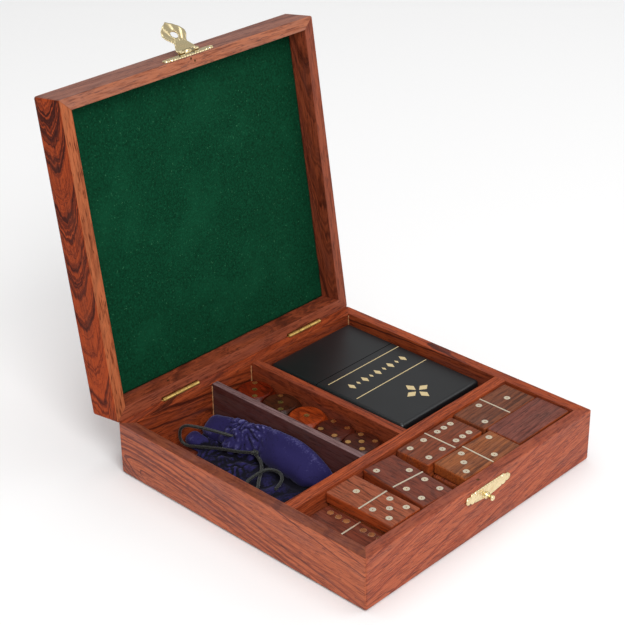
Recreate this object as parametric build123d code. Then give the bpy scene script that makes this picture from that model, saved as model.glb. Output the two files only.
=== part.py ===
from build123d import *
import math
import os

# Hardwood games box with a hinged lid, a brass hasp and everything that it carries.
# Millimetres. Origin at the centre of the underside, +X along the front, +Y to the hinges, +Z up.
# The lid is worked out closed and then swung open about its hinge pins.

# Box
box_width = 168.0
box_depth = 165.3
base_height = 29.0
lid_height = 20.0
wall = 6.3
rim_gap = 0.1
corner_round = 1.2
underside_round = 1.5
rim_round = 0.5

# Panels let into the walls
base_panel = 4.0
lid_panel = 7.0
rabbet = 3.0
felt_thickness = 1.0
felt_margin = 0.3

# Dividers, as the widths of the bays beside them
pouch_bay_width = 51.5
dice_bay_width = 25.2
trough_divider_thickness = 6.5
dice_divider_thickness = 3.8
card_divider_thickness = 5.0
tongue_depth = 2.0
tongue_stop = 3.0

# Lid hinges
lid_open_angle = 98.5
hinge_length = 24.5
left_hinge_inset = 41.7
right_hinge_inset = 35.5
hinge_sink = 0.2
knuckle_radius = 1.4
hinge_pin_radius = 0.6
leaf_thickness = 0.7
leaf_depth = 9.0
leaf_step = 1.3
knuckle_gap = 0.2
turning_clearance = 0.3
pin_clearance = 0.08

# Brass fittings at the front
fitting_thickness = 0.8
catch_width = 19.7
catch_shoulder = 5.9
catch_point = 1.4
catch_drop = 2.7
catch_shift = 0.9
lobe_radius = 1.75
lobe_tip_radius = 2.1
lobe_reach = 14.3
lobe_neck = 11.4
stud_drop = 8.6
stud_shift = -0.2
stud_neck_radius = 1.1
stud_head_radius = 1.45
stud_head_thickness = 1.2
stud_head_gap = 0.3
stud_shank = 3.5
stud_bore_reach = 2.0

# Hasp on the lid
hasp_width = 20.4
hasp_plate_height = 5.0
hasp_plate_rise = 0.9
hasp_shift = -0.6
hasp_strap_width = 12.4
hasp_knuckle_radius = 1.1
hasp_pin_radius = 0.5
hasp_pin_rise = 2.6
hasp_pin_stand = 2.1
hasp_centre_knuckle = 6.0
hasp_fold = 137.0
flap_foot_at = 2.5
flap_waist = 4.2
flap_waist_at = 5.9
flap_belly = 7.25
flap_belly_at = 12.4
flap_length = 20.0
flap_hole_radius = 2.2
flap_hole_at = 11.6

# Brads in the rims and in the hinge leaf
brad_radius = 0.8
fine_brad_radius = 0.6
brad_length = 5.0
base_brad_x = -3.0
lid_brad_x = 0.4
second_lid_brad_x = -1.9
brad_inset = 2.9
second_brad_inset = 1.3
leaf_brad_shift = -2.7
leaf_brad_rise = 5.0

# Dominoes, sized so that three widths and two lengths fill the trough but for the slack
domino_proportion = 2.05
trough_slack = 13.4
trough_play = 2.2
domino_thickness = 6.0
domino_round = 0.9
layer_gap = 0.02
pip_radius = 1.65
pip_depth = 0.8
pip_across = 5.9
pip_along = 5.0
half_centre = 10.2
line_width = 0.9
line_depth = 0.6
line_margin = 0.3

# Dice, five in a row that fills their bay but for the slack
dice_slack = 13.0
die_corner_share = 0.689
die_pip_share = 0.261
die_side_gap = 0.6
die_edge_round = 0.6
die_pip_radius = 1.45
die_pip_depth = 0.7

# Card case and its deck
case_height = 20.5
case_wall = 1.2
case_round = 2.2
case_lid_length = 33.2
case_side_gap = 1.7
case_left_gap = 6.7
case_back_gap = 1.5
case_front_gap = 8.5
deck_side_play = 1.6
deck_end_play = 2.6
deck_headroom = 1.1

# Cloth pouch and its cord
soft_gap = 0.3
pouch_end_gap = 3.0
cord_radius = 0.8
knot_radius = 2.0

# Worked out from the sizes above
half_width = box_width / 2
half_depth = box_depth / 2
inner_x = half_width - wall
inner_y = half_depth - wall
front_face = -half_depth
pivot_z = base_height - hinge_sink
lid_rim = base_height + rim_gap
lid_top = lid_rim + lid_height
domino_width = (2 * inner_x - trough_slack) / (3 + 2 * domino_proportion)
domino_length = domino_width * domino_proportion
trough_depth = domino_length + trough_play
trough_back = -inner_y + trough_depth
bays_front = trough_back + trough_divider_thickness
dice_divider_left = -inner_x + pouch_bay_width
dice_divider_right = dice_divider_left + dice_divider_thickness
card_divider_left = dice_divider_right + dice_bay_width
card_divider_right = card_divider_left + card_divider_thickness
bay_length = inner_y - bays_front
die_size = (bay_length - dice_slack) / 5
die_corner_radius = die_size * die_corner_share
die_pip_pitch = die_size * die_pip_share
floor_z = base_panel
rest_z = floor_z + layer_gap
lid_pivot = Axis((0, half_depth, pivot_z), (1, 0, 0))
hasp_pin_y = front_face - hasp_pin_stand
hasp_pin_z = lid_rim + hasp_pin_rise
hasp_pivot = Axis((0, hasp_pin_y, hasp_pin_z), (1, 0, 0))
hinge_centres = (left_hinge_inset - half_width, half_width - right_hinge_inset)
flap_front = hasp_pin_y - hasp_knuckle_radius

os.makedirs("parts", exist_ok=True)


def save(name, shape):
    """Write one node, as one solid or as a group of separate solids."""
    solids = shape.solids()
    export_step(solids[0] if len(solids) == 1 else Compound(solids), f"parts/{name}.step")


def block(x0, x1, y0, y1, z0, z1):
    """Box between two corners."""
    return Pos((x0 + x1) / 2, (y0 + y1) / 2, (z0 + z1) / 2) * Box(x1 - x0, y1 - y0, z1 - z0)


def rod(start, end, radius):
    """Round bar from one point to another."""
    way = Vector(*end) - Vector(*start)
    plane = Plane(origin=start, z_dir=way)
    return plane * Cylinder(radius, way.length, align=(Align.CENTER, Align.CENTER, Align.MIN))


def opened(shape):
    """Shape of the closed lid, swung to where it rests open."""
    return shape.rotate(lid_pivot, -lid_open_angle)


def folded(shape):
    """Shape of the hanging hasp flap, folded back and then opened with the lid."""
    return opened(shape.rotate(hasp_pivot, -hasp_fold))


# Walls, as one ring that is cut along its mitres
def wall_ring(z0, z1, foot_round, head_round):
    """Four walls in one piece with their outer edges eased, or left sharp where a rounding is nothing."""
    ring = block(-half_width, half_width, front_face, half_depth, z0, z1)
    ring = fillet(ring.edges().filter_by(Axis.Z), corner_round)
    if foot_round:
        ring = fillet(ring.faces().sort_by(Axis.Z)[0].outer_wire().edges(), foot_round)
    if head_round:
        ring = fillet(ring.faces().sort_by(Axis.Z)[-1].outer_wire().edges(), head_round)
    return ring - block(-inner_x, inner_x, -inner_y, inner_y, z0 - 1, z1 + 1)


def mitre_wedges(z0, z1):
    """Plan wedges that part the ring into front, back, left and right walls."""
    reach = wall + 2
    long_x, long_y = half_width + 1, half_depth + 1
    short_x, short_y = long_x - reach, long_y - reach
    outlines = {
        "front_wall": [(-long_x, -long_y), (long_x, -long_y), (short_x, -short_y), (-short_x, -short_y)],
        "back_wall": [(-long_x, long_y), (long_x, long_y), (short_x, short_y), (-short_x, short_y)],
        "left_wall": [(-long_x, -long_y), (-long_x, long_y), (-short_x, short_y), (-short_x, -short_y)],
        "right_wall": [(long_x, -long_y), (long_x, long_y), (short_x, short_y), (short_x, -short_y)],
    }
    for name, points in outlines.items():
        outline = Pos(0, 0, z0 - 1) * make_face(Polyline(*points, close=True))
        yield name, extrude(outline, z1 - z0 + 2, dir=(0, 0, 1))


def panel(z0, z1):
    """Panel that sits in the rabbets of the four walls."""
    return block(-inner_x - rabbet, inner_x + rabbet, -inner_y - rabbet, inner_y + rabbet, z0, z1)


# Dividers with stopped tongues at their ends
tongue_top = base_height - tongue_stop


def lengthwise_divider(x0, x1):
    """Divider along Y, housed in the trough divider and in the back wall."""
    board = block(x0, x1, bays_front, inner_y, floor_z, base_height)
    front, back = bays_front - tongue_depth, inner_y + tongue_depth
    return board + block(x0, x1, front, back, floor_z, tongue_top)


dice_divider = lengthwise_divider(dice_divider_left, dice_divider_right)
card_divider = lengthwise_divider(card_divider_left, card_divider_right)
trough_divider = block(-inner_x, inner_x, trough_back, bays_front, floor_z, base_height)
tongue_x = inner_x + tongue_depth
trough_divider += block(-tongue_x, tongue_x, trough_back, bays_front, floor_z, tongue_top)


# Lid hinges: three knuckles on a pin, with leaves in saw kerfs
def hinge_leaf(centre, lid_side):
    """Leaf with its knuckles, closed: the base keeps the outer two knuckles, the lid the middle one."""
    way = 1 if lid_side else -1
    left, right = centre - hinge_length / 2, centre + hinge_length / 2
    third = hinge_length / 3
    if lid_side:
        spans = [(left + third, right - third)]
    else:
        spans = [(left, left + third), (right - third, right)]
    front, back = half_depth - leaf_step, half_depth - leaf_step + leaf_thickness
    root_z = pivot_z + way * (knuckle_radius + turning_clearance)
    tip_z = pivot_z + way * leaf_depth
    leaf = block(left, right, front, back, min(root_z, tip_z), max(root_z, tip_z))
    for start, end in spans:
        inner, outer = start + knuckle_gap / 2, end - knuckle_gap / 2
        leaf += rod((inner, half_depth, pivot_z), (outer, half_depth, pivot_z), knuckle_radius)
        leaf += block(inner, outer, front, back, min(root_z, pivot_z), max(root_z, pivot_z))
    bore = hinge_pin_radius + (pin_clearance if lid_side else 0)
    return leaf - rod((left - 1, half_depth, pivot_z), (right + 1, half_depth, pivot_z), bore)


def hinge_recess(centre):
    """Room for a barrel in both rims and for both leaves in their kerfs."""
    left = centre - hinge_length / 2 - turning_clearance
    right = centre + hinge_length / 2 + turning_clearance
    front, back = half_depth - leaf_step, half_depth - leaf_step + leaf_thickness
    barrel_room = knuckle_radius + turning_clearance
    room = rod((left, half_depth, pivot_z), (right, half_depth, pivot_z), barrel_room)
    tip = leaf_depth + turning_clearance
    return room + block(left, right, front, back, pivot_z - tip, pivot_z + tip)


recesses = [hinge_recess(centre) for centre in hinge_centres]
hinge_pins = [
    Pos(centre, half_depth, pivot_z) * Rot(0, 90, 0) * Cylinder(hinge_pin_radius, hinge_length)
    for centre in hinge_centres
]

# Brads
base_brad_y = front_face + brad_inset
base_brad_foot = (base_brad_x, base_brad_y, base_height - brad_length)
base_brads = rod((base_brad_x, base_brad_y, base_height), base_brad_foot, brad_radius)
leaf_brad_x = hinge_centres[0] + leaf_brad_shift
leaf_brad_z = lid_rim + leaf_brad_rise
lid_brads = [
    rod((x, front_face + inset, lid_rim), (x, front_face + inset, lid_rim + brad_length), fine_brad_radius)
    for x, inset in ((lid_brad_x, brad_inset), (second_lid_brad_x, second_brad_inset))
]
leaf_brad_end = (leaf_brad_x, half_depth - leaf_step, leaf_brad_z)
lid_brads.append(rod((leaf_brad_x, inner_y, leaf_brad_z), leaf_brad_end, fine_brad_radius))

# Base walls, bottom panel and dividers
base_cuts = [panel(0, base_panel), trough_divider, dice_divider, card_divider, base_brads] + recesses
base_ring = wall_ring(0, base_height, underside_round, rim_round)
base_hinge_ring = wall_ring(0, base_height, underside_round, 0)
stud_axis_z = base_height - stud_drop
stud_foot = (stud_shift, front_face + stud_shank, stud_axis_z)
for name, wedge in mitre_wedges(0, base_height):
    base_wall = (base_hinge_ring if name == "back_wall" else base_ring) & wedge
    for cut in base_cuts:
        base_wall -= cut
    if name == "front_wall":
        base_wall -= rod(stud_foot, (stud_shift, front_face, stud_axis_z), stud_neck_radius)
    save(f"base_{name}", base_wall)
save("base_bottom_panel", panel(0, base_panel))
save("trough_divider", trough_divider - dice_divider - card_divider)
save("dice_divider", dice_divider)
save("card_divider", card_divider)
save("base_brads", base_brads)
save("hinge_pins", Compound(hinge_pins))
for side, centre in zip(("left", "right"), hinge_centres):
    save(f"{side}_hinge_base_leaf", hinge_leaf(centre, False))
    save(f"{side}_hinge_lid_leaf", opened(hinge_leaf(centre, True) - lid_brads[-1]))

# Lid walls, top panel and felt lining
lid_cuts = [panel(lid_top - lid_panel, lid_top)] + recesses + lid_brads
lid_ring = wall_ring(lid_rim, lid_top, rim_round, underside_round)
lid_hinge_ring = wall_ring(lid_rim, lid_top, 0, underside_round)
for name, wedge in mitre_wedges(lid_rim, lid_top):
    lid_wall = (lid_hinge_ring if name == "back_wall" else lid_ring) & wedge
    for cut in lid_cuts:
        lid_wall -= cut
    save(f"lid_{name}", opened(lid_wall))
save("lid_top_panel", opened(panel(lid_top - lid_panel, lid_top)))
felt_x, felt_y = inner_x - felt_margin, inner_y - felt_margin
felt_back = lid_top - lid_panel
save("lid_felt", opened(block(-felt_x, felt_x, -felt_y, felt_y, felt_back - felt_thickness, felt_back)))
save("lid_brads", opened(Compound(lid_brads)))


# Pierced end ornament of both brass plates
def end_lobes(centre_x, middle_z, spread):
    """Discs of a three-lobed end at each side of a plate, flat against the front."""
    lobes = []
    for side in (-1, 1):
        for x, z, radius in (
            (lobe_neck, spread, lobe_radius),
            (lobe_neck, -spread, lobe_radius),
            (lobe_reach, 0, lobe_tip_radius),
        ):
            start = (centre_x + side * x, front_face, middle_z + z)
            lobes.append(rod(start, (start[0], front_face - fitting_thickness, start[2]), radius))
    return lobes


# Catch plate and its stud
catch_top = base_height - catch_drop
catch_outline = [
    (catch_shift - catch_width / 2, catch_top),
    (catch_shift + catch_width / 2, catch_top),
    (catch_shift + catch_width / 2, catch_top - catch_shoulder),
    (catch_shift, catch_top - catch_shoulder - catch_point),
    (catch_shift - catch_width / 2, catch_top - catch_shoulder),
]
front_plane = Plane(origin=(0, front_face, 0), x_dir=(1, 0, 0), z_dir=(0, -1, 0))
catch_plate = extrude(front_plane * make_face(Polyline(*catch_outline, close=True)), fitting_thickness)
for lobe in end_lobes(catch_shift, catch_top - catch_shoulder / 2, catch_shoulder / 2 - lobe_radius):
    catch_plate += lobe
stud_bore_end = (stud_shift, front_face - stud_bore_reach, stud_axis_z)
save("catch_plate", catch_plate - rod(stud_foot, stud_bore_end, stud_neck_radius))
stud_head_y = flap_front - stud_head_gap
stud_head = (stud_shift, stud_head_y, stud_axis_z)
stud_end = (stud_shift, stud_head_y - stud_head_thickness, stud_axis_z)
save("catch_stud", rod(stud_foot, stud_head, stud_neck_radius) + rod(stud_head, stud_end, stud_head_radius))

# Hasp plate with the outer knuckles
plate_low = lid_rim + hasp_plate_rise
plate_high = plate_low + hasp_plate_height
plate_left, plate_right = hasp_shift - hasp_width / 2, hasp_shift + hasp_width / 2
hasp_plate = block(plate_left, plate_right, front_face - fitting_thickness, front_face, plate_low, plate_high)
for lobe in end_lobes(hasp_shift, (plate_low + plate_high) / 2, hasp_plate_height / 2 - lobe_radius):
    hasp_plate += lobe
strap_left, strap_right = hasp_shift - hasp_strap_width / 2, hasp_shift + hasp_strap_width / 2
centre_left, centre_right = hasp_shift - hasp_centre_knuckle / 2, hasp_shift + hasp_centre_knuckle / 2
for start, end in ((strap_left, centre_left - knuckle_gap), (centre_right + knuckle_gap, strap_right)):
    hasp_plate += rod((start, hasp_pin_y, hasp_pin_z), (end, hasp_pin_y, hasp_pin_z), hasp_knuckle_radius)
    tongue_low, tongue_high = hasp_pin_z - hasp_knuckle_radius / 2, hasp_pin_z + hasp_knuckle_radius
    hasp_plate += block(start, end, hasp_pin_y, front_face, tongue_low, tongue_high)
pin_start, pin_end = (strap_left, hasp_pin_y, hasp_pin_z), (strap_right, hasp_pin_y, hasp_pin_z)
save("hasp_plate", opened(hasp_plate - rod(pin_start, pin_end, hasp_pin_radius)))
save("hasp_pin", opened(rod(pin_start, pin_end, hasp_pin_radius)))

# Hasp flap, a drop with a waist, a round hole and a pointed tip
flap_root = hasp_pin_z - hasp_knuckle_radius - turning_clearance
strap_half = hasp_strap_width / 2


def flap_side(side):
    """Outline down one side of the flap, from the strap to the tip."""
    strap_foot = (hasp_shift + side * strap_half, hasp_pin_z - flap_foot_at)
    waist = (hasp_shift + side * flap_waist, hasp_pin_z - flap_waist_at)
    belly = (hasp_shift + side * flap_belly, hasp_pin_z - flap_belly_at)
    tip = (hasp_shift, hasp_pin_z - flap_length)
    return strap_foot, waist, belly, tip


foot_l, waist_l, belly_l, tip = flap_side(-1)
foot_r, waist_r, belly_r, _ = flap_side(1)
flap_edges = [
    Line((foot_l[0], flap_root), (foot_r[0], flap_root)),
    Line((foot_r[0], flap_root), foot_r),
    Spline(foot_r, waist_r, belly_r, tip, tangents=[(-0.6, -1), (-0.75, -1)]),
    Spline(tip, belly_l, waist_l, foot_l, tangents=[(-0.75, 1), (-0.6, 1)]),
    Line(foot_l, (foot_l[0], flap_root)),
]
flap_plane = Plane(origin=(0, flap_front + fitting_thickness, 0), x_dir=(1, 0, 0), z_dir=(0, -1, 0))
hasp_flap = extrude(flap_plane * make_face(Wire(flap_edges)), fitting_thickness)
hasp_flap += block(
    centre_left, centre_right, flap_front, flap_front + fitting_thickness, flap_root - 0.5, hasp_pin_z
)
centre_end = (centre_right, hasp_pin_y, hasp_pin_z)
hasp_flap += rod((centre_left, hasp_pin_y, hasp_pin_z), centre_end, hasp_knuckle_radius)
hasp_flap -= rod(pin_start, pin_end, hasp_pin_radius + pin_clearance)
hole_z = hasp_pin_z - flap_hole_at
hasp_flap -= rod((hasp_shift, flap_front - 1, hole_z), (hasp_shift, flap_front + 2, hole_z), flap_hole_radius)
save("hasp_flap", folded(hasp_flap))

# Pips, as places on a half of a domino or on a face of a die, counted in rows and columns
PIP_PLACES = {
    "0": [],
    "1": [(0, 0)],
    "2": [(-1, -1), (1, 1)],
    "3": [(-1, -1), (0, 0), (1, 1)],
    "4": [(-1, -1), (-1, 1), (1, -1), (1, 1)],
    "5": [(-1, -1), (-1, 1), (0, 0), (1, -1), (1, 1)],
    "6": [(-1, -1), (-1, 0), (-1, 1), (1, -1), (1, 0), (1, 1)],
}


# Dominoes lie with their length along X until they are turned
def domino():
    """One tile with its edges eased, standing on z = 0."""
    half_length, half_across = domino_length / 2, domino_width / 2
    tile = block(-half_length, half_length, -half_across, half_across, 0, domino_thickness)
    return fillet(tile.edges(), domino_round)


def domino_inlays(ends):
    """Centre line and pips, let into the top face."""
    top = domino_thickness
    line_half = domino_width / 2 - line_margin
    bars = [block(-line_width / 2, line_width / 2, -line_half, line_half, top - line_depth, top)]
    for end, value in zip((-1, 1), ends):
        for across, along in PIP_PLACES[value]:
            x, y = end * half_centre + along * pip_along, across * pip_across
            bars.append(rod((x, y, top - pip_depth), (x, y, top), pip_radius))
    return Compound(bars)


def layer_z(layer):
    """Height of the underside of a layer of tiles, counted from 0."""
    return rest_z + layer * (domino_thickness + layer_gap)


def upright(widths_before, left_gap, front_gap):
    """Place of a tile that points to the back: tiles to its left, then the gaps at its left and front."""
    across = widths_before * domino_width + left_gap + domino_width / 2
    return Pos(across - inner_x, front_gap + domino_length / 2 - inner_y, 0) * Rot(0, 0, 90)


def lying(lengths_before, left_gap, widths_in_front, front_gap):
    """Place of a tile that points to the right, beyond the three upright columns."""
    across = 3 * domino_width + lengths_before * domino_length + left_gap + domino_length / 2
    deep = widths_in_front * domino_width + front_gap + domino_width / 2
    return Pos(across - inner_x, deep - inner_y, 0)


# Visible tiles: place in the trough, small turn, layer and the values of the two ends
LAYERS = ("bottom", "second", "third", "top")
TILES = [
    ("tile_1", upright(0, 0.1, 0.1), 0, "third", "66"),
    ("tile_2", upright(1, 0.4, 2.1), 0, "top", "51"),
    ("tile_3", upright(2, 3.9, 1.1), -5.5, "top", "42"),
    ("tile_4", lying(0, 9.6, 1, 2.4), 0, "top", "46"),
    ("tile_5", lying(0, 12.5, 0, 1.2), -2, "top", "32"),
    ("tile_6", lying(1, 12.1, 1, 2.9), 0, "top", "21"),
    ("tile_7", lying(1, 13.1, 0, 2.6), 0, "top", "00"),
]
for name, place, turn, layer, ends in TILES:
    place = Pos(0, 0, layer_z(LAYERS.index(layer))) * place * Rot(0, 0, turn)
    if ends == "00":
        save(name, place * domino())
    else:
        inlays = domino_inlays(ends)
        save(name, place * (domino() - inlays))
        save(f"{name}_inlays", place * inlays)

# Tiles underneath, face down, three across the trough and two pairs along it
LOWER_PLACES = [
    upright(0, 0.1, 1.1),
    upright(1, 1.0, 0.8),
    upright(2, 2.0, 1.2),
    lying(0, 10.9, 1, 2.2),
    lying(0, 11.3, 0, 1.2),
    lying(1, 12.2, 1, 2.4),
    lying(1, 12.8, 0, 1.6),
]
for number, layer in enumerate(LAYERS[:-1]):
    shown = [tile for tile in TILES if tile[3] == layer]
    tiles = [Pos(0, 0, layer_z(number)) * place * domino() for place in LOWER_PLACES[len(shown):]]
    save(f"{layer}_tiles", Compound(tiles))


# Dice, cubes with their corners turned to a sphere
def die():
    """One die about its own centre."""
    cube = fillet(Box(die_size, die_size, die_size).edges(), die_edge_round)
    return cube & Sphere(die_corner_radius)


def die_pips():
    """Pips of all six faces: 1 up and 6 down, 2 in front and 5 behind, 3 right and 4 left."""
    pips = []
    faces = {
        "1": (Vector(0, 0, 1), Vector(1, 0, 0)),
        "6": (Vector(0, 0, -1), Vector(1, 0, 0)),
        "2": (Vector(0, -1, 0), Vector(1, 0, 0)),
        "5": (Vector(0, 1, 0), Vector(1, 0, 0)),
        "3": (Vector(1, 0, 0), Vector(0, 1, 0)),
        "4": (Vector(-1, 0, 0), Vector(0, 1, 0)),
    }
    for value, (normal, right) in faces.items():
        up = normal.cross(right)
        for across, along in PIP_PLACES[value]:
            spot = normal * (die_size / 2) + (right * across + up * along) * die_pip_pitch
            pips.append(rod(spot - normal * die_pip_depth, spot, die_pip_radius))
    return Compound(pips)


# Turn that brings each face of a die up, the threes with their diagonal along the bay
FACE_UP = {
    "1": Rot(0, 0, 0),
    "3": Rot(0, 0, 90) * Rot(0, -90, 0),
    "4": Rot(0, 90, 0),
    "5": Rot(90, 0, 0),
}
# Dice from the back wall forwards: gap behind, gap at the right beside the common one, face up
DICE = [
    ("die_1", 2.7, 0.3, "3"),
    ("die_2", 1.1, 0.5, "3"),
    ("die_3", 0.8, 0.7, "1"),
    ("die_4", 0.6, 0.4, "4"),
    ("die_5", 0.4, 0.2, "5"),
]
plain_die = die()
pips_of_a_die = die_pips()
dimpled_die = plain_die - pips_of_a_die
die_back = inner_y
for name, gap_behind, gap_beside, value in DICE:
    die_back -= gap_behind
    x = card_divider_left - die_side_gap - gap_beside - die_size / 2
    place = Pos(x, die_back - die_size / 2, rest_z + die_size / 2) * FACE_UP[value]
    save(name, place * dimpled_die)
    save(f"{name}_pips", place * pips_of_a_die)
    die_back -= die_size

# Card case in two parts, with the deck inside
case_left, case_right = card_divider_right + case_left_gap, inner_x - case_side_gap
case_front, case_back = bays_front + case_front_gap, inner_y - case_back_gap
case_top = rest_z + case_height
case_seam = case_back - case_lid_length
case_shell = block(case_left, case_right, case_front, case_back, rest_z, case_top)
case_shell = fillet(case_shell.edges(), case_round)
hollow_left, hollow_right = case_left + case_wall, case_right - case_wall
hollow_front, hollow_back = case_front + case_wall, case_back - case_wall
hollow_low, hollow_high = rest_z + case_wall, case_top - case_wall
case_shell -= block(hollow_left, hollow_right, hollow_front, hollow_back, hollow_low, hollow_high)
body_side = block(case_left - 1, case_right + 1, case_front - 1, case_seam, 0, case_top + 1)
lid_side = block(case_left - 1, case_right + 1, case_seam, case_back + 1, 0, case_top + 1)
save("card_case_body", case_shell & body_side)
save("card_case_lid", case_shell & lid_side)
deck = block(
    hollow_left + deck_side_play / 2,
    hollow_right - deck_side_play / 2,
    hollow_front + deck_end_play / 2,
    hollow_back - deck_end_play / 2,
    hollow_low + layer_gap,
    hollow_high - deck_headroom,
)
save("card_deck", deck)

# Pouch: cross-sections along the bay, each from the low fold on the left to the ridge at the divider
pouch_right = dice_divider_left - soft_gap
pouch_floor = floor_z + soft_gap
pouch_run = bay_length - pouch_end_gap
# Share of the run from the bays' front, then the fold edge, out from the right side, and its height,
# the foot of the ridge likewise, and the height of the ridge
POUCH_SECTIONS = [
    (0.04, 27.2, 5.4, 15.2, 6.2, 8.5),
    (0.10, 32.2, 6.2, 15.2, 7.2, 13.5),
    (0.17, 35.2, 6.6, 15.2, 7.6, 18.0),
    (0.26, 36.2, 6.6, 15.2, 7.6, 23.0),
    (0.39, 36.2, 6.4, 14.2, 7.5, 25.0),
    (0.52, 33.2, 6.2, 12.2, 7.5, 24.6),
    (0.62, 24.2, 6.0, 11.6, 7.5, 22.6),
    (0.70, 13.2, 8.0, 11.6, 11.0, 20.6),
    (0.78, 13.2, 8.0, 11.6, 11.5, 18.6),
    (0.90, 14.2, 7.5, 11.6, 11.0, 16.4),
    (1.00, 13.2, 7.0, 10.6, 9.0, 12.0),
]


def pouch_section(share, fold_out, fold_z, foot_out, foot_z, ridge_z):
    """Closed outline of the pouch across the bay."""
    points = [
        (fold_out - 1, pouch_floor),
        (2, pouch_floor),
        (0, pouch_floor + 3),
        (0, max(ridge_z - 3.5, pouch_floor + 3.5)),
        (1.6, ridge_z - 0.8),
        (4.6, ridge_z),
        (7.8, ridge_z - 1.6),
        (foot_out, foot_z),
        (fold_out, fold_z),
    ]
    y = bays_front + share * pouch_run
    return make_face(Polyline(*[(pouch_right - out, y, z) for out, z in points], close=True))


pouch = loft([pouch_section(*row) for row in POUCH_SECTIONS], ruled=True)
save("pouch", pouch)

# Drawstring: a loop from the neck back to the knot, and a tail from the knot. Points are the
# distance out from the pouch's right side, the share of its run and the height
KNOT_CENTRE = (12.9, 0.5865, 12.4)
LOOP_POINTS = [
    (8.7, 0.7405, 15.4),
    (14.3, 0.7955, 15.6),
    (19.5, 0.8835, 17.2),
    (25.9, 0.9995, 18.0),
    (27.1, 0.9905, 6.1),
    (22.1, 0.8695, 7.8),
    (17.9, 0.7745, 9.0),
    (15.9, 0.6795, 10.2),
    (13.2, 0.5955, 12.2),
]
TAIL_POINTS = [
    (13.1, 0.5785, 11.6),
    (14.9, 0.5165, 9.7),
    (20.1, 0.4835, 8.6),
    (27.3, 0.4195, 8.5),
    (27.5, 0.3005, 8.8),
    (16.7, 0.2925, 9.5),
    (13.5, 0.3975, 10.0),
    (15.1, 0.4735, 10.6),
    (21.3, 0.4955, 11.0),
    (26.1, 0.4715, 10.6),
]


def in_bay(point):
    """Place of a point of the drawstring in the box."""
    out, share, height = point
    return (pouch_right - out, bays_front + share * pouch_run, height)


def corner_radii(points):
    """Radius of the arc at each corner: 0.45 of the shorter run over the tangent of half the turn."""
    radii = []
    for before, at, after in zip(points, points[1:], points[2:]):
        run_in = Vector(*at) - Vector(*before)
        run_out = Vector(*after) - Vector(*at)
        half_turn = math.radians(run_in.get_angle(run_out)) / 2
        radii.append(0.45 * min(run_in.length, run_out.length) / math.tan(half_turn))
    return radii


def cord_tube(name, points):
    """Tube along straight runs joined by tangent arcs, with its radii and its volume printed."""
    points = [in_bay(point) for point in points]
    radii = corner_radii(points)
    path = FilletPolyline(*points, radius=radii)
    tube = sweep(Plane(origin=path @ 0, z_dir=path % 0) * Circle(cord_radius), path=path)
    expected = math.pi * cord_radius ** 2 * path.length
    turns = ", ".join(f"{radius:.1f}" for radius in radii)
    print(f"{name}: length {path.length:.1f}, radii {turns}, volume {tube.volume:.2f} of {expected:.2f}")
    save(name, tube)


cord_tube("drawstring_loop", LOOP_POINTS)
cord_tube("drawstring_tail", TAIL_POINTS)
save("drawstring_knot", Pos(*in_bay(KNOT_CENTRE)) * Sphere(knot_radius))
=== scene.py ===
import logging
import math
from dataclasses import dataclass
from enum import Enum

import bmesh
import bpy
import numpy as np
from bpy.types import Material, Mesh, Node, NodeSocket, NodeTree, Object
from mathutils import Euler, Matrix, Vector


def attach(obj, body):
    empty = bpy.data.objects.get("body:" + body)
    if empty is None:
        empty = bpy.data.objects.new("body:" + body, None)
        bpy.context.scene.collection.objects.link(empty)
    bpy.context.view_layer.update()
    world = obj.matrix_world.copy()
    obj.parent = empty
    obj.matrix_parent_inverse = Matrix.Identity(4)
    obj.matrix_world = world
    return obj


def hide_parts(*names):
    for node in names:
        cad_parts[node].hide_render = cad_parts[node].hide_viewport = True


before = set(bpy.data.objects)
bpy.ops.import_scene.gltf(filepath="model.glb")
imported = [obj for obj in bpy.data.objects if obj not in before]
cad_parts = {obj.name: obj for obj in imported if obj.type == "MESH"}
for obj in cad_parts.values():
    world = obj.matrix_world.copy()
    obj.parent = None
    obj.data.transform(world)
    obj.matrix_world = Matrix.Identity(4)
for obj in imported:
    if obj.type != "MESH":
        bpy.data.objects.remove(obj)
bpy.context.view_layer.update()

logging.basicConfig(level=logging.INFO, format="%(message)s")
LOG = logging.getLogger("games_box")

# One millimetre in the scene's metres
MM = 0.001

# Sizes of the box that its solids have too, in millimetres
HALF_WIDTH = 84.0
HALF_DEPTH = 82.65
WALL = 6.3
INNER_X = HALF_WIDTH - WALL
INNER_Y = HALF_DEPTH - WALL
BASE_HEIGHT = 29.0
FLOOR = 4.0
LID_RIM = 29.1
PIVOT_Z = 28.8
OPEN_ANGLE = 98.5
HASP_FOLD = 137.0
PIVOT = Vector((0.0, HALF_DEPTH, PIVOT_Z))


class Grain(Enum):
    """Degrees about X and then about Z that lay a board's grain along X and close the lid."""

    ALONG_X = (0.0, 0.0)
    ALONG_Y = (0.0, -90.0)
    LID_X = (OPEN_ANGLE, 0.0)
    LID_Y = (OPEN_ANGLE, -90.0)


def linear(code: str) -> tuple[float, float, float, float]:
    """Turn an sRGB hex colour into linear RGBA.

    Args:
        code: colour such as "#A0522D".

    Returns:
        Red, green, blue and alpha for a shader socket.
    """
    values = [int(code[i:i + 2], 16) / 255 for i in (1, 3, 5)]
    red, green, blue = (v / 12.92 if v <= 0.04045 else ((v + 0.055) / 1.055) ** 2.4 for v in values)
    return red, green, blue, 1.0


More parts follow.
